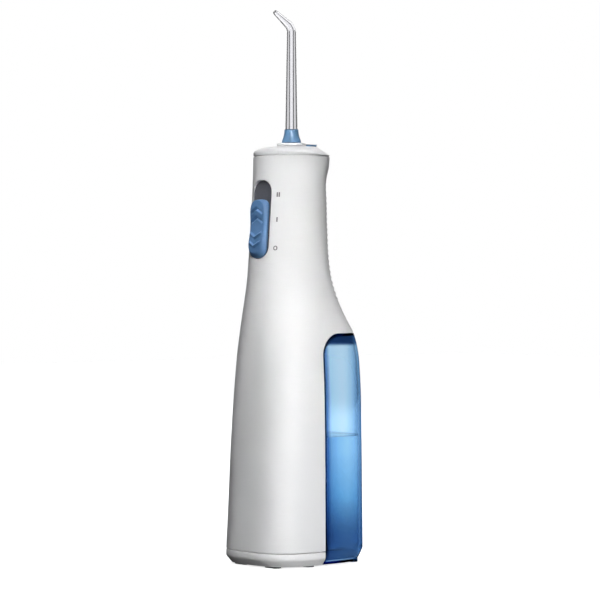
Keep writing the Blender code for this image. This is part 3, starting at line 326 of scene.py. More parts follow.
white = moulded("handle_white", (0.83, 0.83, 0.84), (0.50, 0.60), 0.012, 0.10)
cap_white = moulded("head_white", (0.83, 0.83, 0.84), (0.44, 0.54), 0.012, 0.08)
switch_blue = moulded("switch_blue", (0.115, 0.255, 0.50), (0.30, 0.42), 0.06, 0.15)
collar_blue = moulded("collar_blue", (0.13, 0.27, 0.47), (0.24, 0.36), 0.05, 0.10)
recess_grey = moulded("recess_grey", (0.115, 0.118, 0.135), (0.38, 0.5), 0.08, 0.2)
moulded("internal_grey", (0.30, 0.31, 0.33), (0.42, 0.55), 0.06, 0.2)
moulded("seal_rubber", (0.035, 0.035, 0.037), (0.6, 0.8), 0.15, 0.4, 1800.0)
moulded("foot_rubber", (0.22, 0.22, 0.23), (0.6, 0.8), 0.1, 0.4, 1800.0)
print_grey = moulded("print_grey", (0.19, 0.19, 0.20), (0.5, 0.6), 0.1, 0.1)
moulded("acetal", (0.78, 0.76, 0.70), (0.3, 0.45), 0.03, 0.12)
moulded("board_green", (0.03, 0.20, 0.08), (0.3, 0.45), 0.2, 0.3, 1200.0)
moulded("cell_wrap", (0.05, 0.05, 0.055), (0.2, 0.32), 0.2, 0.1, Metallic=0.4)
moulded("lead_red", (0.50, 0.02, 0.02), (0.35, 0.5), 0.1, 0.2)
moulded("lead_black", (0.02, 0.02, 0.02), (0.35, 0.5), 0.2, 0.2)
steel = metal("steel", (0.60, 0.60, 0.62), (0.22, 0.38))
metal("nickel", (0.68, 0.65, 0.60), (0.25, 0.40))
metal("brass", (0.75, 0.56, 0.22), (0.22, 0.36))
print("opaque finishes:", len(finishes))

# %% [markdown]
# ### Clear finishes
# A clear plastic is a shader that lets light through, with its refraction set as one number.
# The reservoir's blue isn't on its surface but in the wall: light loses red as it travels, so
# the broad faces look pale, and the edges, where it travels along the wall, look navy. A
# volume that absorbs does that. Painted shade in the tank's colour adds to it low down, under
# the shell and at the edges. The water is a second clear body inside.


# %% Clear plastics and water
def graded(tree, length, stops):
    """Turns a length in metres into a tint: stops are (millimetres, colour)."""
    low, high = stops[0][0], stops[-1][0]
    share = node(tree, "ShaderNodeMapRange", Value=length, From_Min=low * MM, From_Max=high * MM)
    tones = node(tree, "ShaderNodeValToRGB", Fac=share.outputs["Result"])
    ramp = tones.color_ramp
    fresh = [ramp.elements.new((height - low) / (high - low)) for height, _ in stops[1:-1]]
    for stop, (height, colour) in zip((ramp.elements[0], *fresh, ramp.elements[-1]), stops):
        stop.color = (*colour, 1.0)
    return tones.outputs["Color"]


def paint_tank_shade(finish, shade_by_height, shade_by_depth, shade_by_corner):
    """Paints shade into a clear wall's colour: darker blue low down, a navy band of painted shadow
    under the shell at the top, and painted shade along the front seam and at the rear corners,
    where the wall is seen edge on. A place's length towards a rear corner is a share of its
    width and a share of its depth."""
    tree = finish.node_tree
    place = node(tree, "ShaderNodeTexCoord").outputs["Object"]
    axes = node(tree, "ShaderNodeSeparateXYZ", Vector=place).outputs
    depth = maths(tree, "SUBTRACT", axes["Y"], AXIS_Y * MM)
    across = maths(tree, "MULTIPLY", maths(tree, "ABSOLUTE", axes["X"]), TOWARDS_CORNER[0])
    corner = maths(tree, "MULTIPLY_ADD", depth, TOWARDS_CORNER[1], across)
    tint = graded(tree, axes["Z"], shade_by_height)
    for length, stops in ((depth, shade_by_depth), (corner, shade_by_corner)):
        product = tree.nodes.new("ShaderNodeVectorMath")
        product.operation = "MULTIPLY"
        tree.links.new(tint, product.inputs[0])
        tree.links.new(graded(tree, length, stops), product.inputs[1])
        tint = product.outputs["Vector"]
    tree.links.new(tint, tree.nodes["Principled BSDF"].inputs["Base Color"])


def clear(name, index, rough, body, density, tint=(1.0, 1.0, 1.0)):
    """body is the colour that light takes on as it travels inside, density is how soon."""
    made, tree, shader = new_finish(name)
    shader.inputs["Base Color"].default_value = (*tint, 1.0)
    shader.inputs["Transmission Weight"].default_value = 1.0
    shader.inputs["IOR"].default_value = index
    gloss, ripple = noise(tree, 260.0, 3.0), noise(tree, 60.0, 1.0)
    uneven(tree, shader, rough, gloss, ripple, 0.05, 0.05)
    stain = node(tree, "ShaderNodeVolumeAbsorption", Color=(*body, 1.0), Density=density)
    tree.links.new(stain.outputs["Volume"], tree.nodes["Material Output"].inputs["Volume"])
    return made


# Stops of painted shade for the tank's colour, in millimetres. By height, it is darker blue low down and
# has a navy band of painted shadow under the shell. By depth, it darkens the front seam. By corner, it
# darkens the rear corners. TOWARDS_CORNER is the camera's sideways direction, so those corners are where
# the camera sees the wall edge on.
TOWARDS_CORNER = (0.64, 0.77)
PLAIN, NAVY = (1.0, 1.0, 1.0), (0.12, 0.20, 0.34)
SHADE_BY_HEIGHT = (
    (0.0, (0.30, 0.39, 0.55)), (16.0, (0.32, 0.42, 0.56)),
    (34.0, (0.62, 0.76, 0.84)), (60.0, (0.97, 0.99, 1.0)),
    (115.5, PLAIN), (117.0, NAVY),
    (126.0, NAVY),
)
SHADE_BY_DEPTH = ((0.0, (0.30, 0.40, 0.60)), (2.6, (0.40, 0.50, 0.70)), (4.0, PLAIN), (40.0, PLAIN))
SHADE_BY_CORNER = (
    (29.0, PLAIN), (34.0, (0.78, 0.87, 0.95)),
    (36.0, (0.50, 0.63, 0.79)), (37.6, (0.26, 0.36, 0.54)),
    (50.0, NAVY),
)
tank_blue = clear("tank_blue", 1.50, (0.01, 0.04), (0.03, 0.55, 0.86), 210.0)
# The tank's colour gets its painted shade here.
paint_tank_shade(tank_blue, SHADE_BY_HEIGHT, SHADE_BY_DEPTH, SHADE_BY_CORNER)
water_clear = clear("water", 1.08, (0.0, 0.01), (0.02, 0.52, 0.82), 16.0)
water_rim_blue = clear("water_rim", 1.33, (0.0, 0.02), (0.01, 0.20, 0.42), 900.0)
tip_clear = clear("tip_clear", 1.49, (0.02, 0.06), (0.50, 0.50, 0.54), 45.0, (0.96, 0.96, 0.98))
clear("hose_silicone", 1.41, (0.3, 0.45), (0.75, 0.78, 0.80), 60.0)
print("clear finishes ready")

# %% [markdown]
# ## The body's section
# The handle isn't a revolved shape. Low down it is a rounded rectangle, at the grip it is an
# oval, and at the head it is a circle. A superellipse with a few stations up its height gives
# all of these: its power runs from 2, an ellipse, to over 3, a soft rectangle. The front and
# rear halves have their own depth and power, and share one width.

# %% Stations, and a smooth curve through them
# height, half width, front depth, rear depth, front power, rear power
STATIONS = np.array((
    (8.0, 28.2, 31.9, 38.1, 3.3, 3.0),
    (36.0, 28.1, 30.4, 37.8, 3.2, 3.0),
    (68.0, 27.8, 29.0, 37.5, 3.05, 3.0),
    (100.0, 26.9, 27.5, 36.9, 2.75, 3.0),
    (112.0, 26.2, 27.0, 36.1, 2.6, 2.95),
    (122.0, 25.2, 26.7, 33.9, 2.4, 2.75),
    (131.0, 24.0, 26.3, 29.3, 2.25, 2.4),
    (140.0, 22.9, 25.7, 25.0, 2.1, 2.15),
    (150.0, 21.8, 24.9, 21.4, 2.0, 2.0),
    (161.0, 21.1, 24.0, 18.9, 2.0, 2.0),
    (175.0, 20.6, 22.9, 17.9, 2.0, 2.0),
    (193.0, 20.3, 21.5, 17.2, 2.0, 2.0),
    (201.0, 20.25, 20.95, 16.7, 2.0, 2.0),
    (205.0, 20.25, 20.7, 17.5, 2.0, 2.0),
    (210.0, 20.3, 20.45, 19.5, 2.0, 2.0),
    (216.0, 20.3, 20.25, 20.4, 2.0, 2.0),
))
SLOPES = np.gradient(STATIONS[:, 1:], STATIONS[:, 0], axis=0)
AROUND = 160
TURNS = (np.arange(AROUND) + 0.5) * 2 * math.pi / AROUND


def section(height):
    heights = STATIONS[:, 0]
    z = float(np.clip(height, heights[0], heights[-1]))
    i = int(np.clip(np.searchsorted(heights, z) - 1, 0, len(heights) - 2))
    span = heights[i + 1] - heights[i]
    t = (z - heights[i]) / span
    rise = (1 + 2 * t) * (1 - t) ** 2
    low, high = STATIONS[i, 1:], STATIONS[i + 1, 1:]
    bend = t * (1 - t) * span * ((1 - t) * SLOPES[i] - t * SLOPES[i + 1])
    return rise * low + (1 - rise) * high + bend


def ring(height, inset=0.0, at=None):
    """The body's outline at a height, moved in by inset, and laid at another height if told."""
    width, front, rear, front_power, rear_power = section(height)
    c, s = np.cos(TURNS), np.sin(TURNS)
    depth = np.where(s >= 0, rear, front) - inset
    power = np.where(s >= 0, rear_power, front_power)
    reach = (np.abs(c / (width - inset)) ** power + np.abs(s / depth) ** power) ** (-1 / power)
    return level_ring(reach * c, reach * s, height if at is None else at)


def foot_rings(levels):
    """The outline of the body's foot at (height, inset) levels."""
    return [ring(STATIONS[0, 0], inset, at) for at, inset in levels]


def front_skin(x, z, inset=0.0):
    """Y of the front skin at a place across and a height."""
    width, front, _, power, _ = section(z)
    return -(front - inset) * (1 - abs(x / (width - inset)) ** power) ** (1 / power)


def side_profile(edge, top, corner, bottom=-10.0, steps=24):
    """The reservoir bay from the side, as (Y, Z): a wall, a round corner and a ceiling."""
    return [
        (edge, bottom),
        (BEYOND, bottom),
        (BEYOND, top),
        *arc((edge + corner, top - corner), corner, 90.0, 180.0, steps),
    ]


def side_block(name, profile):
    """A side profile carried right across the body."""
    flat = np.asarray(profile)
    rings = [np.column_stack([np.full(len(flat), x), flat]) for x in (-BEYOND, BEYOND)]
    return loft(name, rings)


def block(name, low, high):
    x0, y0, z0 = low
    x1, y1, z1 = high
    square = ((x0, y0), (x1, y0), (x1, y1), (x0, y1))
    return loft(name, [[(x, y, z) for x, y in square] for z in (z0, z1)])


def slab(name, low, high):
    """All that lies between two heights."""
    return block(name, (-BEYOND, -BEYOND, low), (BEYOND, BEYOND, high))


def rear_block(name, edge):
    """All that lies behind a wall across the base."""
    return block(name, (-BEYOND, edge, -5.0), (BEYOND, BEYOND, 30.0))


print("widest:", round(2 * STATIONS[:, 1].max(), 1), "deepest:", STATIONS[0, 2] + STATIONS[0, 3])

# %% [markdown]
# ## Handle shell
# The shell is one white moulding: a loft of the section, hollowed, with the bay cut from its
# lower rear and the thumb slot from its front. The grip at the back carries fine level ribs.
# A rib is the same everywhere, so Geometry Nodes make them: a wave up the height pushes the
# skin out and in, and two masks fade it at the grip's ends and sides. The rows there are close
# together, so that the ribs are real geometry and show in the outline.

# %% Shell sizes
HEAD_SEAM = 216.0
SHELL_LOW = 8.3
SHELL_HIGH = HEAD_SEAM - 0.1
WALL = 1.8
LOW_EDGE = ((0.0, 0.28), (0.08, 0.10), (0.25, 0.0))
HIGH_EDGE = ((0.22, 0.0), (0.07, 0.08), (0.0, 0.25))
BAY_EDGE = -0.3
BAY_TOP = 122.5
BAY_CORNER = 12.3
GRIP_LOW, GRIP_HIGH = 139.5, 203.0
RIB_PITCH, RIB_ROW = 2.8, 0.4
END_FADE, SIDE_FADE = 1.5 * MM, math.radians(7.0)
RIBS = {
    "Lowest": GRIP_LOW * MM,
    "Highest": GRIP_HIGH * MM,
    "Pitch": RIB_PITCH * MM,
    "Height": 0.5 * MM,
    "Axis Y": AXIS_Y * MM,
    "Side Angle": math.radians(58.0),
}

# %% Rows of the shell, closest at the grip
rows = [
    *np.linspace(SHELL_LOW + 0.5, GRIP_LOW - 2.0, 50),
    *np.arange(GRIP_LOW - 1.5, GRIP_HIGH + 1.0, RIB_ROW),
    *np.linspace(GRIP_HIGH + 2.0, SHELL_HIGH - 0.4, 9),
]
shell_rings = [
    *[ring(SHELL_LOW + rise, inset) for rise, inset in LOW_EDGE],
    *[ring(z) for z in rows],
    *[ring(SHELL_HIGH - fall, inset) for fall, inset in HIGH_EDGE],
]
shell = loft("handle_body", shell_rings, white)
print("shell rows:", len(shell_rings), "faces:", len(shell.data.polygons))


# %% The rib tree
def faded(tree, value, start, end):
    """Rises smoothly from 0 at start to 1 at end."""
    rise = node(tree, "ShaderNodeMapRange", Value=value, From_Min=start, From_Max=end)
    rise.interpolation_type = "SMOOTHSTEP"
    return rise.outputs["Result"]


def rib_tree(finish):
    tree = bpy.data.node_groups.new("grip_ribs", "GeometryNodeTree")
    sockets = tree.interface
    sockets.new_socket("Skin", in_out="INPUT", socket_type="NodeSocketGeometry")
    for name in RIBS:
        sockets.new_socket(name, in_out="INPUT", socket_type="NodeSocketFloat")
    sockets.new_socket("Skin", in_out="OUTPUT", socket_type="NodeSocketGeometry")
    given = node(tree, "NodeGroupInput").outputs
    position = node(tree, "GeometryNodeInputPosition").outputs[0]
    place = node(tree, "ShaderNodeSeparateXYZ", Vector=position).outputs
    up = maths(tree, "SUBTRACT", place["Z"], given["Lowest"])
    phase = maths(tree, "MULTIPLY", maths(tree, "DIVIDE", up, given["Pitch"]), 2 * math.pi)
    wave = maths(tree, "MULTIPLY", maths(tree, "COSINE", phase), -0.5)
    back = maths(tree, "SUBTRACT", place["Y"], given["Axis Y"])
    angle = maths(tree, "ABSOLUTE", maths(tree, "ARCTAN2", place["X"], back))
    soft = maths(tree, "SUBTRACT", given["Side Angle"], SIDE_FADE)
    sides = faded(tree, angle, given["Side Angle"], soft)
    below = faded(tree, up, 0.0, END_FADE)
    above = faded(tree, maths(tree, "SUBTRACT", given["Highest"], place["Z"]), 0.0, END_FADE)
    mask = maths(tree, "MULTIPLY", maths(tree, "MULTIPLY", below, above), sides)
    push = maths(tree, "MULTIPLY", maths(tree, "MULTIPLY", wave, mask), given["Height"])
    outward = tree.nodes.new("ShaderNodeVectorMath")
    outward.operation = "SCALE"
    tree.links.new(node(tree, "GeometryNodeInputNormal").outputs[0], outward.inputs[0])
    tree.links.new(push, outward.inputs["Scale"])
    move = node(tree, "GeometryNodeSetPosition", Geometry=given["Skin"], Offset=outward.outputs["Vector"])
    real = node(tree, "GeometryNodeRealizeInstances", Geometry=move.outputs["Geometry"])
    paint = node(tree, "GeometryNodeSetMaterial", Geometry=real.outputs["Geometry"], Material=finish)
    tree.links.new(paint.outputs["Geometry"], node(tree, "NodeGroupOutput").inputs["Skin"])
    return tree


def run_tree(obj, tree, sizes):
    """Sets a tree's named inputs by their identifiers, then settles its result."""
    modifier = obj.modifiers.new(tree.name, "NODES")
    modifier.node_group = tree
    for socket in tree.interface.items_tree:
        if socket.in_out == "INPUT" and socket.name in sizes:
            modifier[socket.identifier] = sizes[socket.name]
    return settle(obj)


run_tree(shell, rib_tree(white), RIBS)
print("ribs:", round((GRIP_HIGH - GRIP_LOW) / RIB_PITCH))

# %% [markdown]
# The inside is a second loft, one wall further in, less the wall that closes it off from the
# bay. Cutting with closed lofts keeps the result one closed skin.


# %% The switch's own frame
SWITCH_Z = 182.5
SLOT_HALF_WIDTH, SLOT_HALF_LENGTH = 7.4, 20.9
slot_low, slot_high = SWITCH_Z - SLOT_HALF_LENGTH, SWITCH_Z + SLOT_HALF_LENGTH
LEAN = math.atan2(section(slot_low)[1] - section(slot_high)[1], slot_high - slot_low)
SLOT_UP = np.array((0.0, math.sin(LEAN), math.cos(LEAN)))
SLOT_OUT = np.array((0.0, -math.cos(LEAN), math.sin(LEAN)))
CROWN = np.array((0.0, front_skin(0.0, SWITCH_Z), SWITCH_Z))


def on_switch(points):
    """Across, up the slope and out of it, as a place on the handle."""
    across, up, out = np.asarray(points, float).T
    return CROWN + np.outer(across, (1.0, 0.0, 0.0)) + np.outer(up, SLOT_UP) + np.outer(out, SLOT_OUT)


print("switch leans by", round(math.degrees(LEAN), 2), "degrees")

# %% Hollow the shell, cut the bay and the slot
PORT_X, PORT_Y, PORT_RADIUS = -5.0, 20.2, 3.7
inside = loft("inside", [ring(z, WALL) for z in (SHELL_LOW - 2, *rows[::4], HEAD_SEAM + 2)])
inside_edge = side_profile(BAY_EDGE - WALL, BAY_TOP + WALL, BAY_CORNER + WALL)
carve(inside, side_block("bay_wall", inside_edge))
carve(shell, inside)
carve(shell, side_block("bay", side_profile(BAY_EDGE, BAY_TOP, BAY_CORNER)))
slot_levels = [(-8.0, 0.0), (-2.4, 0.0), (-1.0, 0.0), (4.0, 0.0)]
slot_outline = soft_slot(SLOT_HALF_WIDTH, SLOT_HALF_LENGTH)
carve(shell, stack("slot", slot_outline, slot_levels, place=on_switch))
port_hole = [(0, 130), (PORT_RADIUS, 130), (PORT_RADIUS, 110), (0, 110)]
carve(shell, turned("port", port_hole, None, PORT_Y, 48, PORT_X))
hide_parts("handle_shell")
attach(shell, "handle")
print("shell faces:", len(shell.data.polygons))

# %% [markdown]
# ## Head cap
# The cap is round, domed at the front and chamfered at the rear, where the eject button sits.
# Each ring is a circle whose radius and height slide from the front profile to the rear one.

# %% Cap rings
CAP_TOP = 221.4
SOCKET_RADIUS, BOSS_RADIUS, BOSS_TOP = 6.0, 7.75, 223.2
RIM_RADIUS, RIM_HEIGHT, DOME_RADIUS = 20.2, 1.9, 8.5
REAR_FLAT, REAR_FALL = 13.6, 4.6
CAP_WALL, CAP_THICK = 1.6, 1.7
SEAM_EDGE = ((RIM_RADIUS, 0.6), (20.12, 0.46), (19.95, 0.4))
CAP_INSIDE = (
    (17.9, 216.4), (17.9, 214.9), (17.0, 214.9), (17.0, 213.5),
    (17.9, 213.5), (17.9, 212.6), (16.4, 212.6), (16.4, 215.0),
)


def circle(radius, height):
    return level_ring(radius * np.cos(TURNS), radius * np.sin(TURNS), height)


def smoothstep(value):
    t = np.clip(value, 0.0, 1.0)
    return t * t * (3 - 2 * t)


def cap_ring(front, rear, drop=0.0, sink=0.0):
    """A ring from a (radius, height) pair in front to one at the rear, moved in and down."""
    share = smoothstep(0.5 + 0.5 * np.sin(TURNS))
    radius = between(front[0], rear[0], share) - drop
    height = between(front[1], rear[1], share) - sink
    return np.stack([radius * np.cos(TURNS), radius * np.sin(TURNS), height], axis=1)


dome = arc((0.0, 0.0), 1.0, 90.0, 0.0, 28)
front_run, front_rise = RIM_RADIUS - DOME_RADIUS, CAP_TOP - HEAD_SEAM - RIM_HEIGHT
cap_front = [(DOME_RADIUS + r * front_run, HEAD_SEAM + RIM_HEIGHT + z * front_rise) for r, z in dome]
rear_run = RIM_RADIUS - REAR_FLAT
cap_rear = [
    (REAR_FLAT + t * rear_run, CAP_TOP - 0.1 - t * REAR_FALL) for t in np.linspace(0, 1, len(dome))
]
cap_pairs = list(zip(cap_front, cap_rear))
cap_rings = [
    circle(SOCKET_RADIUS + 0.3, CAP_TOP),
    *[cap_ring(f, r) for f, r in cap_pairs],
    *[circle(r, HEAD_SEAM + rise) for r, rise in SEAM_EDGE],
    *[circle(r, z) for r, z in CAP_INSIDE],
    *[cap_ring(f, r, CAP_WALL, CAP_THICK) for f, r in reversed(cap_pairs[:-3:3])],
    circle(SOCKET_RADIUS + 0.3, CAP_TOP - CAP_THICK),
]
cap = loft("head_cap_skin", cap_rings, cap_white, closed=True)


# %% The button's hole, and the cap in place
BUTTON_REAR, BUTTON_HALF, BUTTON_CORNER, BUTTON_GAP = 14.4, 4.4, 1.2, 0.35


def button_outline(inset):
    """From above: the front follows the boss, and the rear corners are round."""
    radius = BOSS_RADIUS + BUTTON_GAP + inset
    half = BUTTON_HALF - inset
    side = math.degrees(math.asin(half / radius))
    rear = BUTTON_REAR - inset - BUTTON_CORNER
    middle = half - BUTTON_CORNER
    return [
        *arc((0.0, 0.0), radius, 90.0 + side, 90.0 - side, 16),
        *arc((middle, rear), BUTTON_CORNER, 0.0, 90.0, 10),
        *arc((-middle, rear), BUTTON_CORNER, 90.0, 180.0, 10),
    ]


carve(cap, stack("button_hole", button_outline(-0.3), [(214.0, 0.0), (226.0, 0.0)]))
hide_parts("head_cap")
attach(cap, "handle")
print("cap faces:", len(cap.data.polygons))

# %% [markdown]
# ## Socket boss, collar and button
# The boss is turned, with a soft top edge. The collar of the jet tip is a little bell: a
# concave flare from the nozzle down to a short straight foot. The button is a stack of one
# outline whose top edge rolls over, and its flange and legs are below, out of sight.

# %% Boss
boss_profile = [
    (BOSS_RADIUS, BOSS_TOP), (BOSS_RADIUS, CAP_TOP + 0.3), (SOCKET_RADIUS, CAP_TOP + 0.3),
    (SOCKET_RADIUS, 211.0), (5.2, 210.9), (5.2, 209.1),
    (SOCKET_RADIUS, 209.0), (SOCKET_RADIUS, 200.4), (3.0, 200.0),
    (3.0, 196.0), (1.3, 196.0), (1.3, 203.2),
    (3.75, 203.2), (3.75, BOSS_TOP),
]
boss = turned("socket_boss", softened(boss_profile, 0.45, 5), cap_white)
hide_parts("tip_socket")
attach(boss, "tip_turret")

# %% Collar
COLLAR_LOW, COLLAR_HIGH = 223.6, 230.7
COLLAR_FOOT, COLLAR_NECK, FLARE_POWER = 5.1, 3.72, 1.9
FLARE_LOW, FLARE_HIGH = COLLAR_LOW + 0.9, COLLAR_HIGH - 0.25
flare = [
    (between(COLLAR_NECK, COLLAR_FOOT, (1 - share) ** FLARE_POWER), between(FLARE_LOW, FLARE_HIGH, share))
    for share in np.linspace(0.0, 1.0, 16)
]
collar_profile = [
    (3.5, COLLAR_HIGH), (3.62, COLLAR_HIGH - 0.05), *flare[::-1],
    (COLLAR_FOOT, COLLAR_LOW + 0.6), (COLLAR_FOOT, COLLAR_LOW + 0.12), (4.98, COLLAR_LOW),
    (3.45, COLLAR_LOW), (3.4, COLLAR_HIGH - 0.3),
]
collar = turned("tip_collar_skin", collar_profile, collar_blue)
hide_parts("tip_collar")
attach(collar, "jet_tip")

# %% Eject button
BUTTON_TOP = 222.8
button_levels = rolled_levels(215.6, BUTTON_TOP, 0.6)
button = stack("eject_button_skin", button_outline(0.0)[::-1], button_levels, collar_blue)
flange = stack("button_flange", rounded_box(5.3, 3.7, 0.8, (0.0, 11.1)), [(214.8, 0.0), (216.0, 0.0)])
carve(button, flange, "UNION")
for side in (-1.0, 1.0):
    near, far = sorted((side * 4.2, side * 5.3))
    carve(button, block("button_leg", (near, 7.6, 210.8), (far, 9.0, 215.2)), "UNION")
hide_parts("eject_button")
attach(button, "eject_button")
print("boss, collar and button in place")

# %% [markdown]
# A coil spring under the button pushes it back up. It is lofted from circles of wire along a
# helix, which closes its ends at once. It rides on the button and moves with it whole.

# %% Eject spring
COIL_RADIUS, WIRE_RADIUS, COIL_Y = 2.0, 0.35, 11.6
COIL_LOW, COIL_HIGH, COIL_TURNS = 208.4, 214.4, 3.5


def coil_ring(share):
    """A circle of wire, square to the coil's line."""
    turn = 2 * math.pi * COIL_TURNS * share
    rise = (COIL_HIGH - COIL_LOW - 2 * WIRE_RADIUS) * share
    outward = np.array((math.cos(turn), math.sin(turn), 0.0))
    centre = COIL_RADIUS * outward + (0.0, COIL_Y, COIL_LOW + WIRE_RADIUS + rise)
    around = np.linspace(0.0, 2 * math.pi, 12, endpoint=False)
    wire = np.outer(np.cos(around), outward) + np.outer(np.sin(around), (0, 0, 1))
    return centre + WIRE_RADIUS * wire


coil = loft("eject_coil", [coil_ring(share) for share in np.linspace(0.0, 1.0, 113)], steel)
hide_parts("eject_spring")
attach(coil, "eject_button")
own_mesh(coil)

# %% [markdown]
# ## Jet tip
# The tip is a clear tube that tapers, bends forward over a short radius and narrows along its
# arm to a fine outlet. Its centre line is straight, an arc and straight again. Rings stand
# square to that line, and the bore is the same line with its own radii, so the wall is real
# and the light bends twice, as it does in the real one.

# %% Centre line of the tip
TIP_SIDES = 64
TIP_FOOT, FOOT_RADIUS, GROOVE_RADIUS, BORE = 204.5, 3.25, 2.5, 1.1
FOOT_MARKS = (
    (TIP_FOOT, 3.1), (TIP_FOOT + 0.15, FOOT_RADIUS), (206.0, FOOT_RADIUS),
    (206.05, GROOVE_RADIUS), (207.6, GROOVE_RADIUS), (207.65, FOOT_RADIUS),
)
BEND_START, BEND_RADIUS, BEND_ANGLE, ARM_LENGTH = 282.3, 5.0, math.radians(57.0), 11.1
SHAFT_HEIGHTS, SHAFT_RADII = (COLLAR_HIGH + 0.1, 255.0, BEND_START - 2.0), (3.2, 2.85, 2.42)
# at the start of the bend, at its end and at the outlet
OUTERS, BORES, OUTLET_ROLL = (2.4, 2.22, 1.2), (1.0, 0.85, 0.4), 0.18


def tip_line():
    """Place, lean, outer radius and bore radius along the tip."""
    line = [((0.0, 0.0, z), 0.0, outer, BORE) for z, outer in FOOT_MARKS]
    for z in np.linspace(COLLAR_HIGH - 8.0, BEND_START - 1.0, 26):
        outer = np.interp(z, SHAFT_HEIGHTS, SHAFT_RADII)
        line.append(((0.0, 0.0, z), 0.0, outer, np.interp(z, (222.0, 282.0), (BORE, BORES[0]))))
    for share in np.linspace(0.0, 1.0, 13):
        lean = BEND_ANGLE * share
        y = -BEND_RADIUS * (1 - math.cos(lean))
        z = BEND_START + BEND_RADIUS * math.sin(lean)
        line.append(((0.0, y, z), lean, between(*OUTERS[:2], share), between(*BORES[:2], share)))
    y, z = line[-1][0][1:]
    for share in np.linspace(0.0, 1.0, 12)[1:]:
        run = ARM_LENGTH * share
        place = (0.0, y - run * math.sin(BEND_ANGLE), z + run * math.cos(BEND_ANGLE))
        outer = between(*OUTERS[1:], share**0.9) - (OUTLET_ROLL if share == 1.0 else 0.0)
        line.append((place, BEND_ANGLE, outer, between(*BORES[1:], share)))
    return line


def leaning_ring(place, lean, radius):
    turns = np.linspace(0.0, 2 * math.pi, TIP_SIDES, endpoint=False)
    back = np.array((0.0, math.cos(lean), math.sin(lean)))
    across = np.array((1.0, 0.0, 0.0))
    return np.array(place) + radius * (np.outer(np.cos(turns), across) + np.outer(np.sin(turns), back))


line = tip_line()
tip_rings = [leaning_ring(place, lean, outer) for place, lean, outer, bore in line]
tip_rings += [leaning_ring(place, lean, bore) for place, lean, outer, bore in reversed(line)]
tip = loft("jet_tip_tube", tip_rings, tip_clear, closed=True, crease=50.0)
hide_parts("tip_nozzle")
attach(tip, "jet_tip")
print("tip ends at", round(line[-1][0][1], 1), round(line[-1][0][2], 1))

# %% [markdown]
# ## Thumb switch
# The slider is a pad that the thumb pushes. Seen from the side it dips in the middle, and its
# long edges are broad bevels. Two chevrons are cut into its upper half and two stand up on its
# lower half. It is made as rings of a slot shape that shrink to a spine, so that the bevel runs
# evenly round it, and the height of each point is worked out from a formula.

# %% Heights on the slider's face
PAD_HALF_WIDTH, PAD_REST = 6.8, -4.6
PAD_TOP, PAD_BOTTOM = 15.2, -15.9
PAD_BACK, PAD_PROUD = -1.4, 2.35
FACE_HALF_WIDTH, FACE_TOP, FACE_BOTTOM = 5.3, 14.5, -13.0
FACE_BOW = 60.0
DIP_DEPTH, DIP_FLAT, DIP_REACH = 0.75, 0.5, 9.0
# apex, the way it points, and height over the face
CHEVRONS = ((10.3, 1, -1.3), (5.5, 1, -1.3), (-5.2, -1, 1.0), (-9.9, -1, 1.0))
CHEVRON_SLOPE, CHEVRON_POINT, CHEVRON_WIDTH = 0.58, 0.12, 0.6
CHEVRON_REACH, CHEVRON_FADE = 4.7, 0.9


def face_height(across, up):
    """Height of the pad's face, from the middle of the pad."""
    height = PAD_PROUD - across**2 / FACE_BOW
    height = height - DIP_DEPTH * (1 - smoothstep((np.abs(up) - DIP_FLAT) / DIP_REACH))
    for apex, points, depth in CHEVRONS:
        limb = apex - points * CHEVRON_SLOPE * np.sqrt(across**2 + CHEVRON_POINT)
        reach = smoothstep((CHEVRON_REACH - np.abs(across)) / CHEVRON_FADE)
        height = height + depth * reach * np.exp(-(((up - limb) / CHEVRON_WIDTH) ** 2))
    return height


def pad_ring(half_width, top, bottom, level=None, power=2.0, cap=None):
    """A slot shape with a squarer top. level is a height, or None for the face."""
    cap = half_width if cap is None else cap
    across, bow = soft_arch(power)
    over = np.column_stack([half_width * across, top - cap + cap * bow])
    under = np.column_stack([-half_width * across, bottom + half_width - half_width * bow])
    up = np.linspace(bottom + half_width, top - cap, 97)[1:-1]
    right = np.column_stack([np.full(len(up), half_width), up])
    left = np.column_stack([np.full(len(up), -half_width), up[::-1]])
    flat = np.vstack([right, over, left, under])
    height = face_height(flat[:, 0], flat[:, 1]) if level is None else np.full(len(flat), level)
    return np.column_stack([flat[:, 0], flat[:, 1] + PAD_REST, height])


# %% The slider
EDGE_INSET, EDGE_POWER, EDGE_CAP = 0.08, 2.6, 5.0
edge_levels = ((0.3, PAD_BACK), (0.0, PAD_BACK + 0.3), (0.0, -0.35), (EDGE_INSET, 0.0))
edge_rings = [
    pad_ring(PAD_HALF_WIDTH - inset, PAD_TOP - inset, PAD_BOTTOM + inset, level, EDGE_POWER, EDGE_CAP)
    for inset, level in edge_levels
]
for share in (0.15, 0.3, 0.5, 0.7, 0.85, 0.95, 1.0):
    bevel = pad_ring(
        between(PAD_HALF_WIDTH - EDGE_INSET, FACE_HALF_WIDTH, share),
        between(PAD_TOP - EDGE_INSET, FACE_TOP, share),
        between(PAD_BOTTOM + EDGE_INSET, FACE_BOTTOM, share),
        None,
        between(EDGE_POWER, 2.0, share),
        between(EDGE_CAP, FACE_HALF_WIDTH, share),
    )
    bevel[:, 2] *= math.sin(share * math.pi / 2)
    edge_rings.append(bevel)
face_rings = [
    pad_ring(half, FACE_TOP - FACE_HALF_WIDTH + half, FACE_BOTTOM + FACE_HALF_WIDTH - half)
    for half in np.linspace(FACE_HALF_WIDTH - 0.2, 0.0, 26)
]
slider = loft("switch_pad", [on_switch(r) for r in (*edge_rings, *face_rings)], switch_blue, crease=45.0)
stem_outline = rounded_box(1.3, 3.0, 0.3, (0.0, PAD_REST))
stem = stack("slider_stem", stem_outline, [(-5.6, 0.0), (-1.0, 0.0)], place=on_switch)
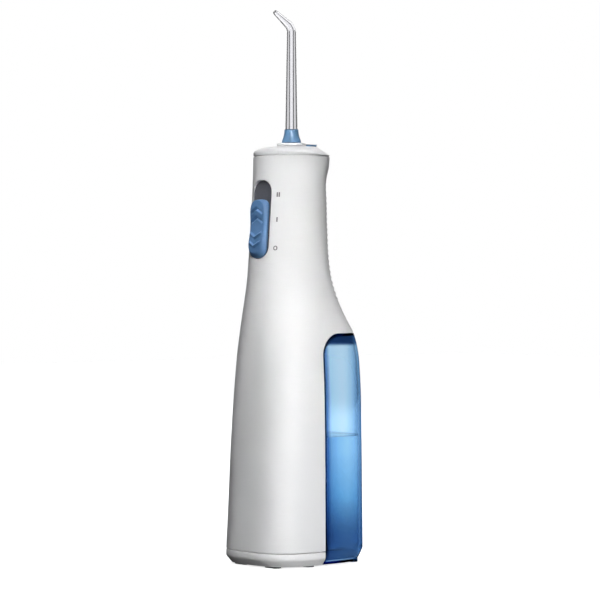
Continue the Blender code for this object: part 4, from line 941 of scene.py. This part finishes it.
carve(slider, stem, "UNION", 45.0)
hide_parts("switch_slider")
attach(slider, "switch")
print("slider faces:", len(slider.data.polygons))

# %% [markdown]
# The slider runs in a dark well. Its floor is dished a little, so that it shades from edge to
# edge, and it has a slot for the slider's stem.

# %% The switch's well
well_outline = soft_slot(SLOT_HALF_WIDTH - 0.3, SLOT_HALF_LENGTH - 0.3)
dished = [(-1.7, 0.05), (-1.75, 0.6), (-1.95, 1.6), (-2.2, 3.0), (-2.3, 4.4)]
well_levels = [(-5.3, 0.0), (-1.75, 0.0), *dished]
well = stack("switch_well", well_outline, well_levels, recess_grey, on_switch)
flange = stack("well_flange", rounded_box(8.2, 23.0, 2.0), [(-5.5, 0.0), (-4.3, 0.0)], place=on_switch)
carve(well, flange, "UNION")
STEM_GAP, STEM_LOW, STEM_HIGH = 1.7, -8.0, 7.8
stem_slot = [(-STEM_GAP, STEM_LOW), (STEM_GAP, STEM_LOW), (STEM_GAP, STEM_HIGH), (-STEM_GAP, STEM_HIGH)]
carve(well, loft("stem_slot", [on_switch([(x, y, h) for x, y in stem_slot]) for h in (-9, 3)]))
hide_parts("switch_housing")
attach(well, "handle")

# %% [markdown]
# Three printed marks stand beside the slot: a ring for off, one bar for low and two bars for
# high. Each is a ribbon of ink laid on the skin, a few hundredths of a millimetre thick.

# %% Printed marks
MARK_ACROSS = 10.8
MARKS = {"off": 167.3, "low": 182.3, "high": 195.4}
RING_HALF_WIDTH, RING_HALF_HEIGHT, RING_INK = 0.72, 1.0, 0.45
BAR_HALF_HEIGHT, BAR_INK, BAR_ASIDE = 1.2, 0.6, 0.45
# side of the path, height over the skin
INK_CORNERS = ((1, -0.1), (-1, -0.1), (-1, 0.035), (1, 0.035))


def ribbon(name, path, width, closed):
    """Ink along a path of (across, height) points, wrapped on the front skin."""
    path = np.asarray(path, float)
    along = np.roll(path, -1, axis=0) - np.roll(path, 1, axis=0) if closed else np.gradient(path, axis=0)
    along /= np.linalg.norm(along, axis=1)[:, None]
    beside = np.stack([-along[:, 1], along[:, 0]], axis=1) * width / 2
    rings = []
    for point, offset in zip(path, beside):
        corners = [(point + side * offset, lift) for side, lift in INK_CORNERS]
        rings.append([(x, front_skin(x, z, -lift), z) for (x, z), lift in corners])
    mark = loft(name, rings, print_grey, closed=closed)
    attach(mark, "handle")
    return mark


def bar(name, across, height):
    heights = np.linspace(height - BAR_HALF_HEIGHT, height + BAR_HALF_HEIGHT, 7)
    ribbon(name, [(across, z) for z in heights], BAR_INK, False)


ring_path = [
    (MARK_ACROSS + RING_HALF_WIDTH * x, MARKS["off"] + RING_HALF_HEIGHT * z)
    for x, z in arc((0, 0), 1.0, 0, 352.5, 47)
]
ribbon("mark_off", ring_path, RING_INK, True)
bar("mark_low", MARK_ACROSS, MARKS["low"])
bar("mark_high_1", MARK_ACROSS - BAR_ASIDE, MARKS["high"])
bar("mark_high_2", MARK_ACROSS + BAR_ASIDE, MARKS["high"])
print("marks at heights", MARKS)

# %% [markdown]
# ## Reservoir and water
# The tank is the missing rear of the body, so it comes from the same rings, cut by the bay's
# side profile. It is hollow: a second loft, one wall in, is cut out of it, and the port in its
# top lets the suction tube in. Its lower edge is a plain bevel. The water fills the hollow up
# to its level and stops a hair short of the wall.

# %% Tank
TANK_LOW, TANK_TOP, TANK_WALL, TANK_FLOOR = 1.0, 122.2, 1.6, 2.8
TANK_CORNER = 12.0
tank_rows = [10.0, *np.arange(14.0, 126.1, 2.0)]
TANK_FOOT = ((TANK_LOW, 3.3), (1.15, 2.95), (4.6, 1.3), (7.7, 0.05), (8.3, 0.0))
tank = loft("reservoir_shell", [*foot_rings(TANK_FOOT), *[ring(z) for z in tank_rows]], tank_blue)
carve(tank, side_block("tank_side", side_profile(0.0, TANK_TOP, TANK_CORNER)), "INTERSECT")
roll_edges(tank, 0.5, 3)


def hollow_form(name, gap=0.0):
    wall = TANK_WALL + gap
    levels = ((TANK_FLOOR + gap, 3.9 + gap), (3.4 + gap, 3.2 + gap), (6.6, wall + 0.6), (8.6, wall))
    form = loft(name, [*foot_rings(levels), *[ring(z, wall) for z in tank_rows]], water_clear)
    profile = side_profile(wall, TANK_TOP - wall, TANK_CORNER - wall)
    return carve(form, side_block(name + "_side", profile), "INTERSECT")


hollow = hollow_form("hollow")
roll_edges(hollow, 0.6, 2)
carve(tank, hollow)
SEAL_RADIUS, MOUTH_RADIUS, SEAL_SEAT = 9.5, 8.0, TANK_TOP - 0.9
port_profile = [
    (0, 130), (SEAL_RADIUS, 130), (SEAL_RADIUS, SEAL_SEAT),
    (MOUTH_RADIUS, SEAL_SEAT), (MOUTH_RADIUS, 115), (0, 115),
]
carve(tank, turned("tank_port", port_profile, None, PORT_Y, 96, PORT_X))
FOOT_LEVELS = ((0.0, 0.3), (0.3, 0.0), (2.0, 0.0))
for x in (-14.0, 14.0):
    carve(tank, stack("tank_foot", rounded_box(4.5, 2.2, 1.0, (x, 29.0)), FOOT_LEVELS), "UNION")
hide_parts("reservoir_tank")
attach(tank, "reservoir")
print("tank faces:", len(tank.data.polygons))

# %% Water
WATER_LEVEL = 67.8
water = hollow_form("water", 0.06)
carve(water, slab("above_water", WATER_LEVEL, 140.0))
tube_space = [(0, 80), (3.0, 80), (3.0, 9.2), (4.6, 9.2), (4.6, 3.2), (0, 3.2)]
carve(water, turned("tube_space", tube_space, None, PORT_Y, 48, PORT_X))
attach(water, "reservoir")
print("water faces:", len(water.data.polygons))

# %% The water's rim, drawn up the wall
water_rim = hollow_form("water_rim", 0.05)
carve(water_rim, hollow_form("rim_inside", 0.5))
carve(water_rim, slab("rim_band", WATER_LEVEL + 0.02, WATER_LEVEL + 0.5), "INTERSECT")
water_rim.data.materials.clear()
water_rim.data.materials.append(water_rim_blue)
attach(water_rim, "reservoir")
print("rim faces:", len(water_rim.data.polygons))

# %% [markdown]
# ## Base cover
# The battery door closes the front of the base. It carries on the body's outline under a thin
# seam and tapers in to the floor. Inside it has a spigot with a groove for the gasket and a
# pocket for the contacts.

# %% Cover
COVER_TOP, COVER_LOW = 7.85, 0.95
COVER_LEVELS = (
    (COVER_LOW, 3.0), (1.05, 2.6), (3.8, 0.5), (4.6, 0.08),
    (5.2, 0.0), (7.6, 0.0), (7.78, 0.08), (COVER_TOP, 0.25),
)
SPIGOT_LEVELS = (
    (5.0, 3.3), (8.55, 3.3), (8.6, 2.1), (9.0, 2.1),
    (9.05, 3.0), (10.4, 3.0), (10.45, 2.2), (12.4, 2.4),
)
POCKET_INSET, LOCK_RADIUS = 4.2, 6.3
cover = loft("base_cover_skin", foot_rings(COVER_LEVELS), white)
carve(cover, rear_block("cover_rear", BAY_EDGE))
spigot = loft("spigot", foot_rings(SPIGOT_LEVELS))
carve(spigot, rear_block("spigot_rear", -2.4))
carve(cover, spigot, "UNION")
pocket = loft("pocket", foot_rings(((2.6, POCKET_INSET), (14.0, POCKET_INSET))))
carve(pocket, rear_block("pocket_rear", -POCKET_INSET))
carve(cover, pocket)
lock_hole = [(0, 3.2), (LOCK_RADIUS, 3.2), (LOCK_RADIUS, -3), (0, -3)]
carve(cover, turned("lock_hole", lock_hole, None, -14.0))
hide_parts("base_cover")
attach(cover, "base_cover")
print("cover faces:", len(cover.data.polygons))

# %% [markdown]
# ## Finishes for what is inside
# The pump, the motor, the cells and the seals keep the frame's own shapes. Each gets the
# finish that is named after its slot, and only the feet differ from the seals.

# %% Paint the frame's own pieces
for part in frame["record"]["subparts"]:
    own = frame["nodes"][part["node"]]
    finish = "foot_rubber" if part["node"].startswith("foot_") else part["material_slot"]
    own.data.materials.clear()
    own.data.materials.append(finishes[finish])

# %% [markdown]
# ## Studio
# The floor and the sky are plain and pale, and throw no light at the handle. Light from the
# front only is what keeps a white handle's edges grey against a white ground. Two small
# lights with a narrow beam light the head and the foot, a broad and weak one fills the front,
# and a strip close to the floor lifts the base. A soft sun lights the cap from above, and a
# large light behind is there for whoever walks round the back.

# %% Floor and sky
FLOOR_REACH, FLOOR_GLOW = 3000.0, 0.80
floor = block("floor", (-FLOOR_REACH, -FLOOR_REACH, -2.0), (FLOOR_REACH, FLOOR_REACH, 0.0))
floor_paint, _, floor_shader = new_finish("floor_white")
floor_shader.inputs["Base Color"].default_value = (0.80, 0.80, 0.80, 1.0)
floor_shader.inputs["Roughness"].default_value = 0.9
floor_shader.inputs["Emission Color"].default_value = (1.0, 1.0, 1.0, 1.0)
floor_shader.inputs["Emission Strength"].default_value = FLOOR_GLOW
floor.data.materials.append(floor_paint)
floor.visible_diffuse = False
floor.visible_glossy = False

scene = bpy.context.scene
sky = bpy.data.worlds.new("studio")
scene.world = sky
sky.use_nodes = True
air = sky.node_tree
sky_light = air.nodes["Background"]
sky.cycles_visibility.diffuse = False
sky.cycles_visibility.glossy = False
scene.view_settings.view_transform = "Standard"

AZIMUTH = math.radians(50.0)
ahead = np.array((-math.sin(AZIMUTH), math.cos(AZIMUTH), 0.0))
right = np.array((math.cos(AZIMUTH), math.sin(AZIMUTH), 0.0))

# %% A dark sky at both sides and overhead, for what is seen through a clear piece only
DARK_START, DARK_FULL, DARK_LEVEL, OVERHEAD_SHARE = 0.35, 0.8, 0.05, 1.4
heading = node(air, "ShaderNodeTexCoord").outputs["Generated"]
sideways = air.nodes.new("ShaderNodeVectorMath")
sideways.operation = "DOT_PRODUCT"
sideways.inputs[1].default_value = right
air.links.new(heading, sideways.inputs[0])
aside = maths(air, "ABSOLUTE", sideways.outputs["Value"])
upwards = node(air, "ShaderNodeSeparateXYZ", Vector=heading).outputs["Z"]
overhead = maths(air, "MULTIPLY", upwards, OVERHEAD_SHARE)
dark = faded(air, maths(air, "MAXIMUM", aside, overhead), DARK_START, DARK_FULL)
shade = maths(air, "MULTIPLY_ADD", dark, DARK_LEVEL - 1.0, 1.0)
direct = node(air, "ShaderNodeLightPath").outputs["Is Camera Ray"]
air.links.new(maths(air, "MAXIMUM", shade, direct), sky_light.inputs["Strength"])
sky_light.inputs["Color"].default_value = (1.0, 1.0, 1.0, 1.0)

# %% Camera
CAMERA_DISTANCE, CAMERA_HEIGHT = 1377.0, 148.3
LENS, SENSOR, SHIFT = 155.2, 36.0, (0.0143, -0.0262)
camera_data = bpy.data.cameras.new("camera")
camera_data.lens = LENS
camera_data.sensor_width = SENSOR
camera_data.shift_x, camera_data.shift_y = SHIFT
camera_data.clip_end = 20.0
camera = bpy.data.objects.new("camera", camera_data)
camera.location = to_frame([-CAMERA_DISTANCE * ahead + (0.0, 0.0, CAMERA_HEIGHT)])[0]
camera.rotation_euler = (math.pi / 2, 0.0, AZIMUTH)
scene.collection.objects.link(camera)
scene.camera = camera


# %% Lights
# name: sideways, forward and height; the box's width and height; power; the height it aims at
BOXES = {
    "key_high": (0.0, -1330.0, 960.0, (300, 100), 0.20, 240.0),
    "key_low": (570.0, -1300.0, 480.0, (300, 100), 0.162, 20.0),
    "fill": (0.0, -1500.0, 400.0, (1000, 900), 1.8, 130.0),
    "rear": (0.0, 1500.0, 900.0, (1600, 1200), 7.0, 130.0),
    "bounce": (0.0, -420.0, 14.0, (500, 20), 0.25, 10.0),
}
KEY_BEAM = math.radians(16.0)
SUN_POWER, SUN_WIDTH = 0.95, math.radians(50.0)


def softbox(name, sideways, forward, height, size, power, aim):
    """A flat light placed from the camera's side of the set, aimed at a height of the handle."""
    data = bpy.data.lights.new(name, "AREA")
    data.shape = "RECTANGLE"
    data.size, data.size_y = size[0] * MM, size[1] * MM
    data.energy = power
    light = bpy.data.objects.new(name, data)
    light.location = to_frame([sideways * right + forward * ahead + (0.0, 0.0, height)])[0]
    towards = Vector(to_frame([(0.0, 0.0, aim)])[0]) - light.location
    light.rotation_euler = towards.to_track_quat("-Z", "Y").to_euler()
    scene.collection.objects.link(light)
    return light


boxes = {name: softbox(name, *box) for name, box in BOXES.items()}
boxes["key_high"].data.spread = KEY_BEAM
boxes["key_low"].data.spread = KEY_BEAM
boxes["rear"].visible_camera = False
boxes["rear"].visible_transmission = False
sun_data = bpy.data.lights.new("overhead", "SUN")
sun_data.energy = SUN_POWER
sun_data.angle = SUN_WIDTH
sun = bpy.data.objects.new("overhead", sun_data)
sun.rotation_euler = (math.radians(14.0), math.radians(-16.0), AZIMUTH)
scene.collection.objects.link(sun)
print("camera at", [round(v, 3) for v in camera.location])
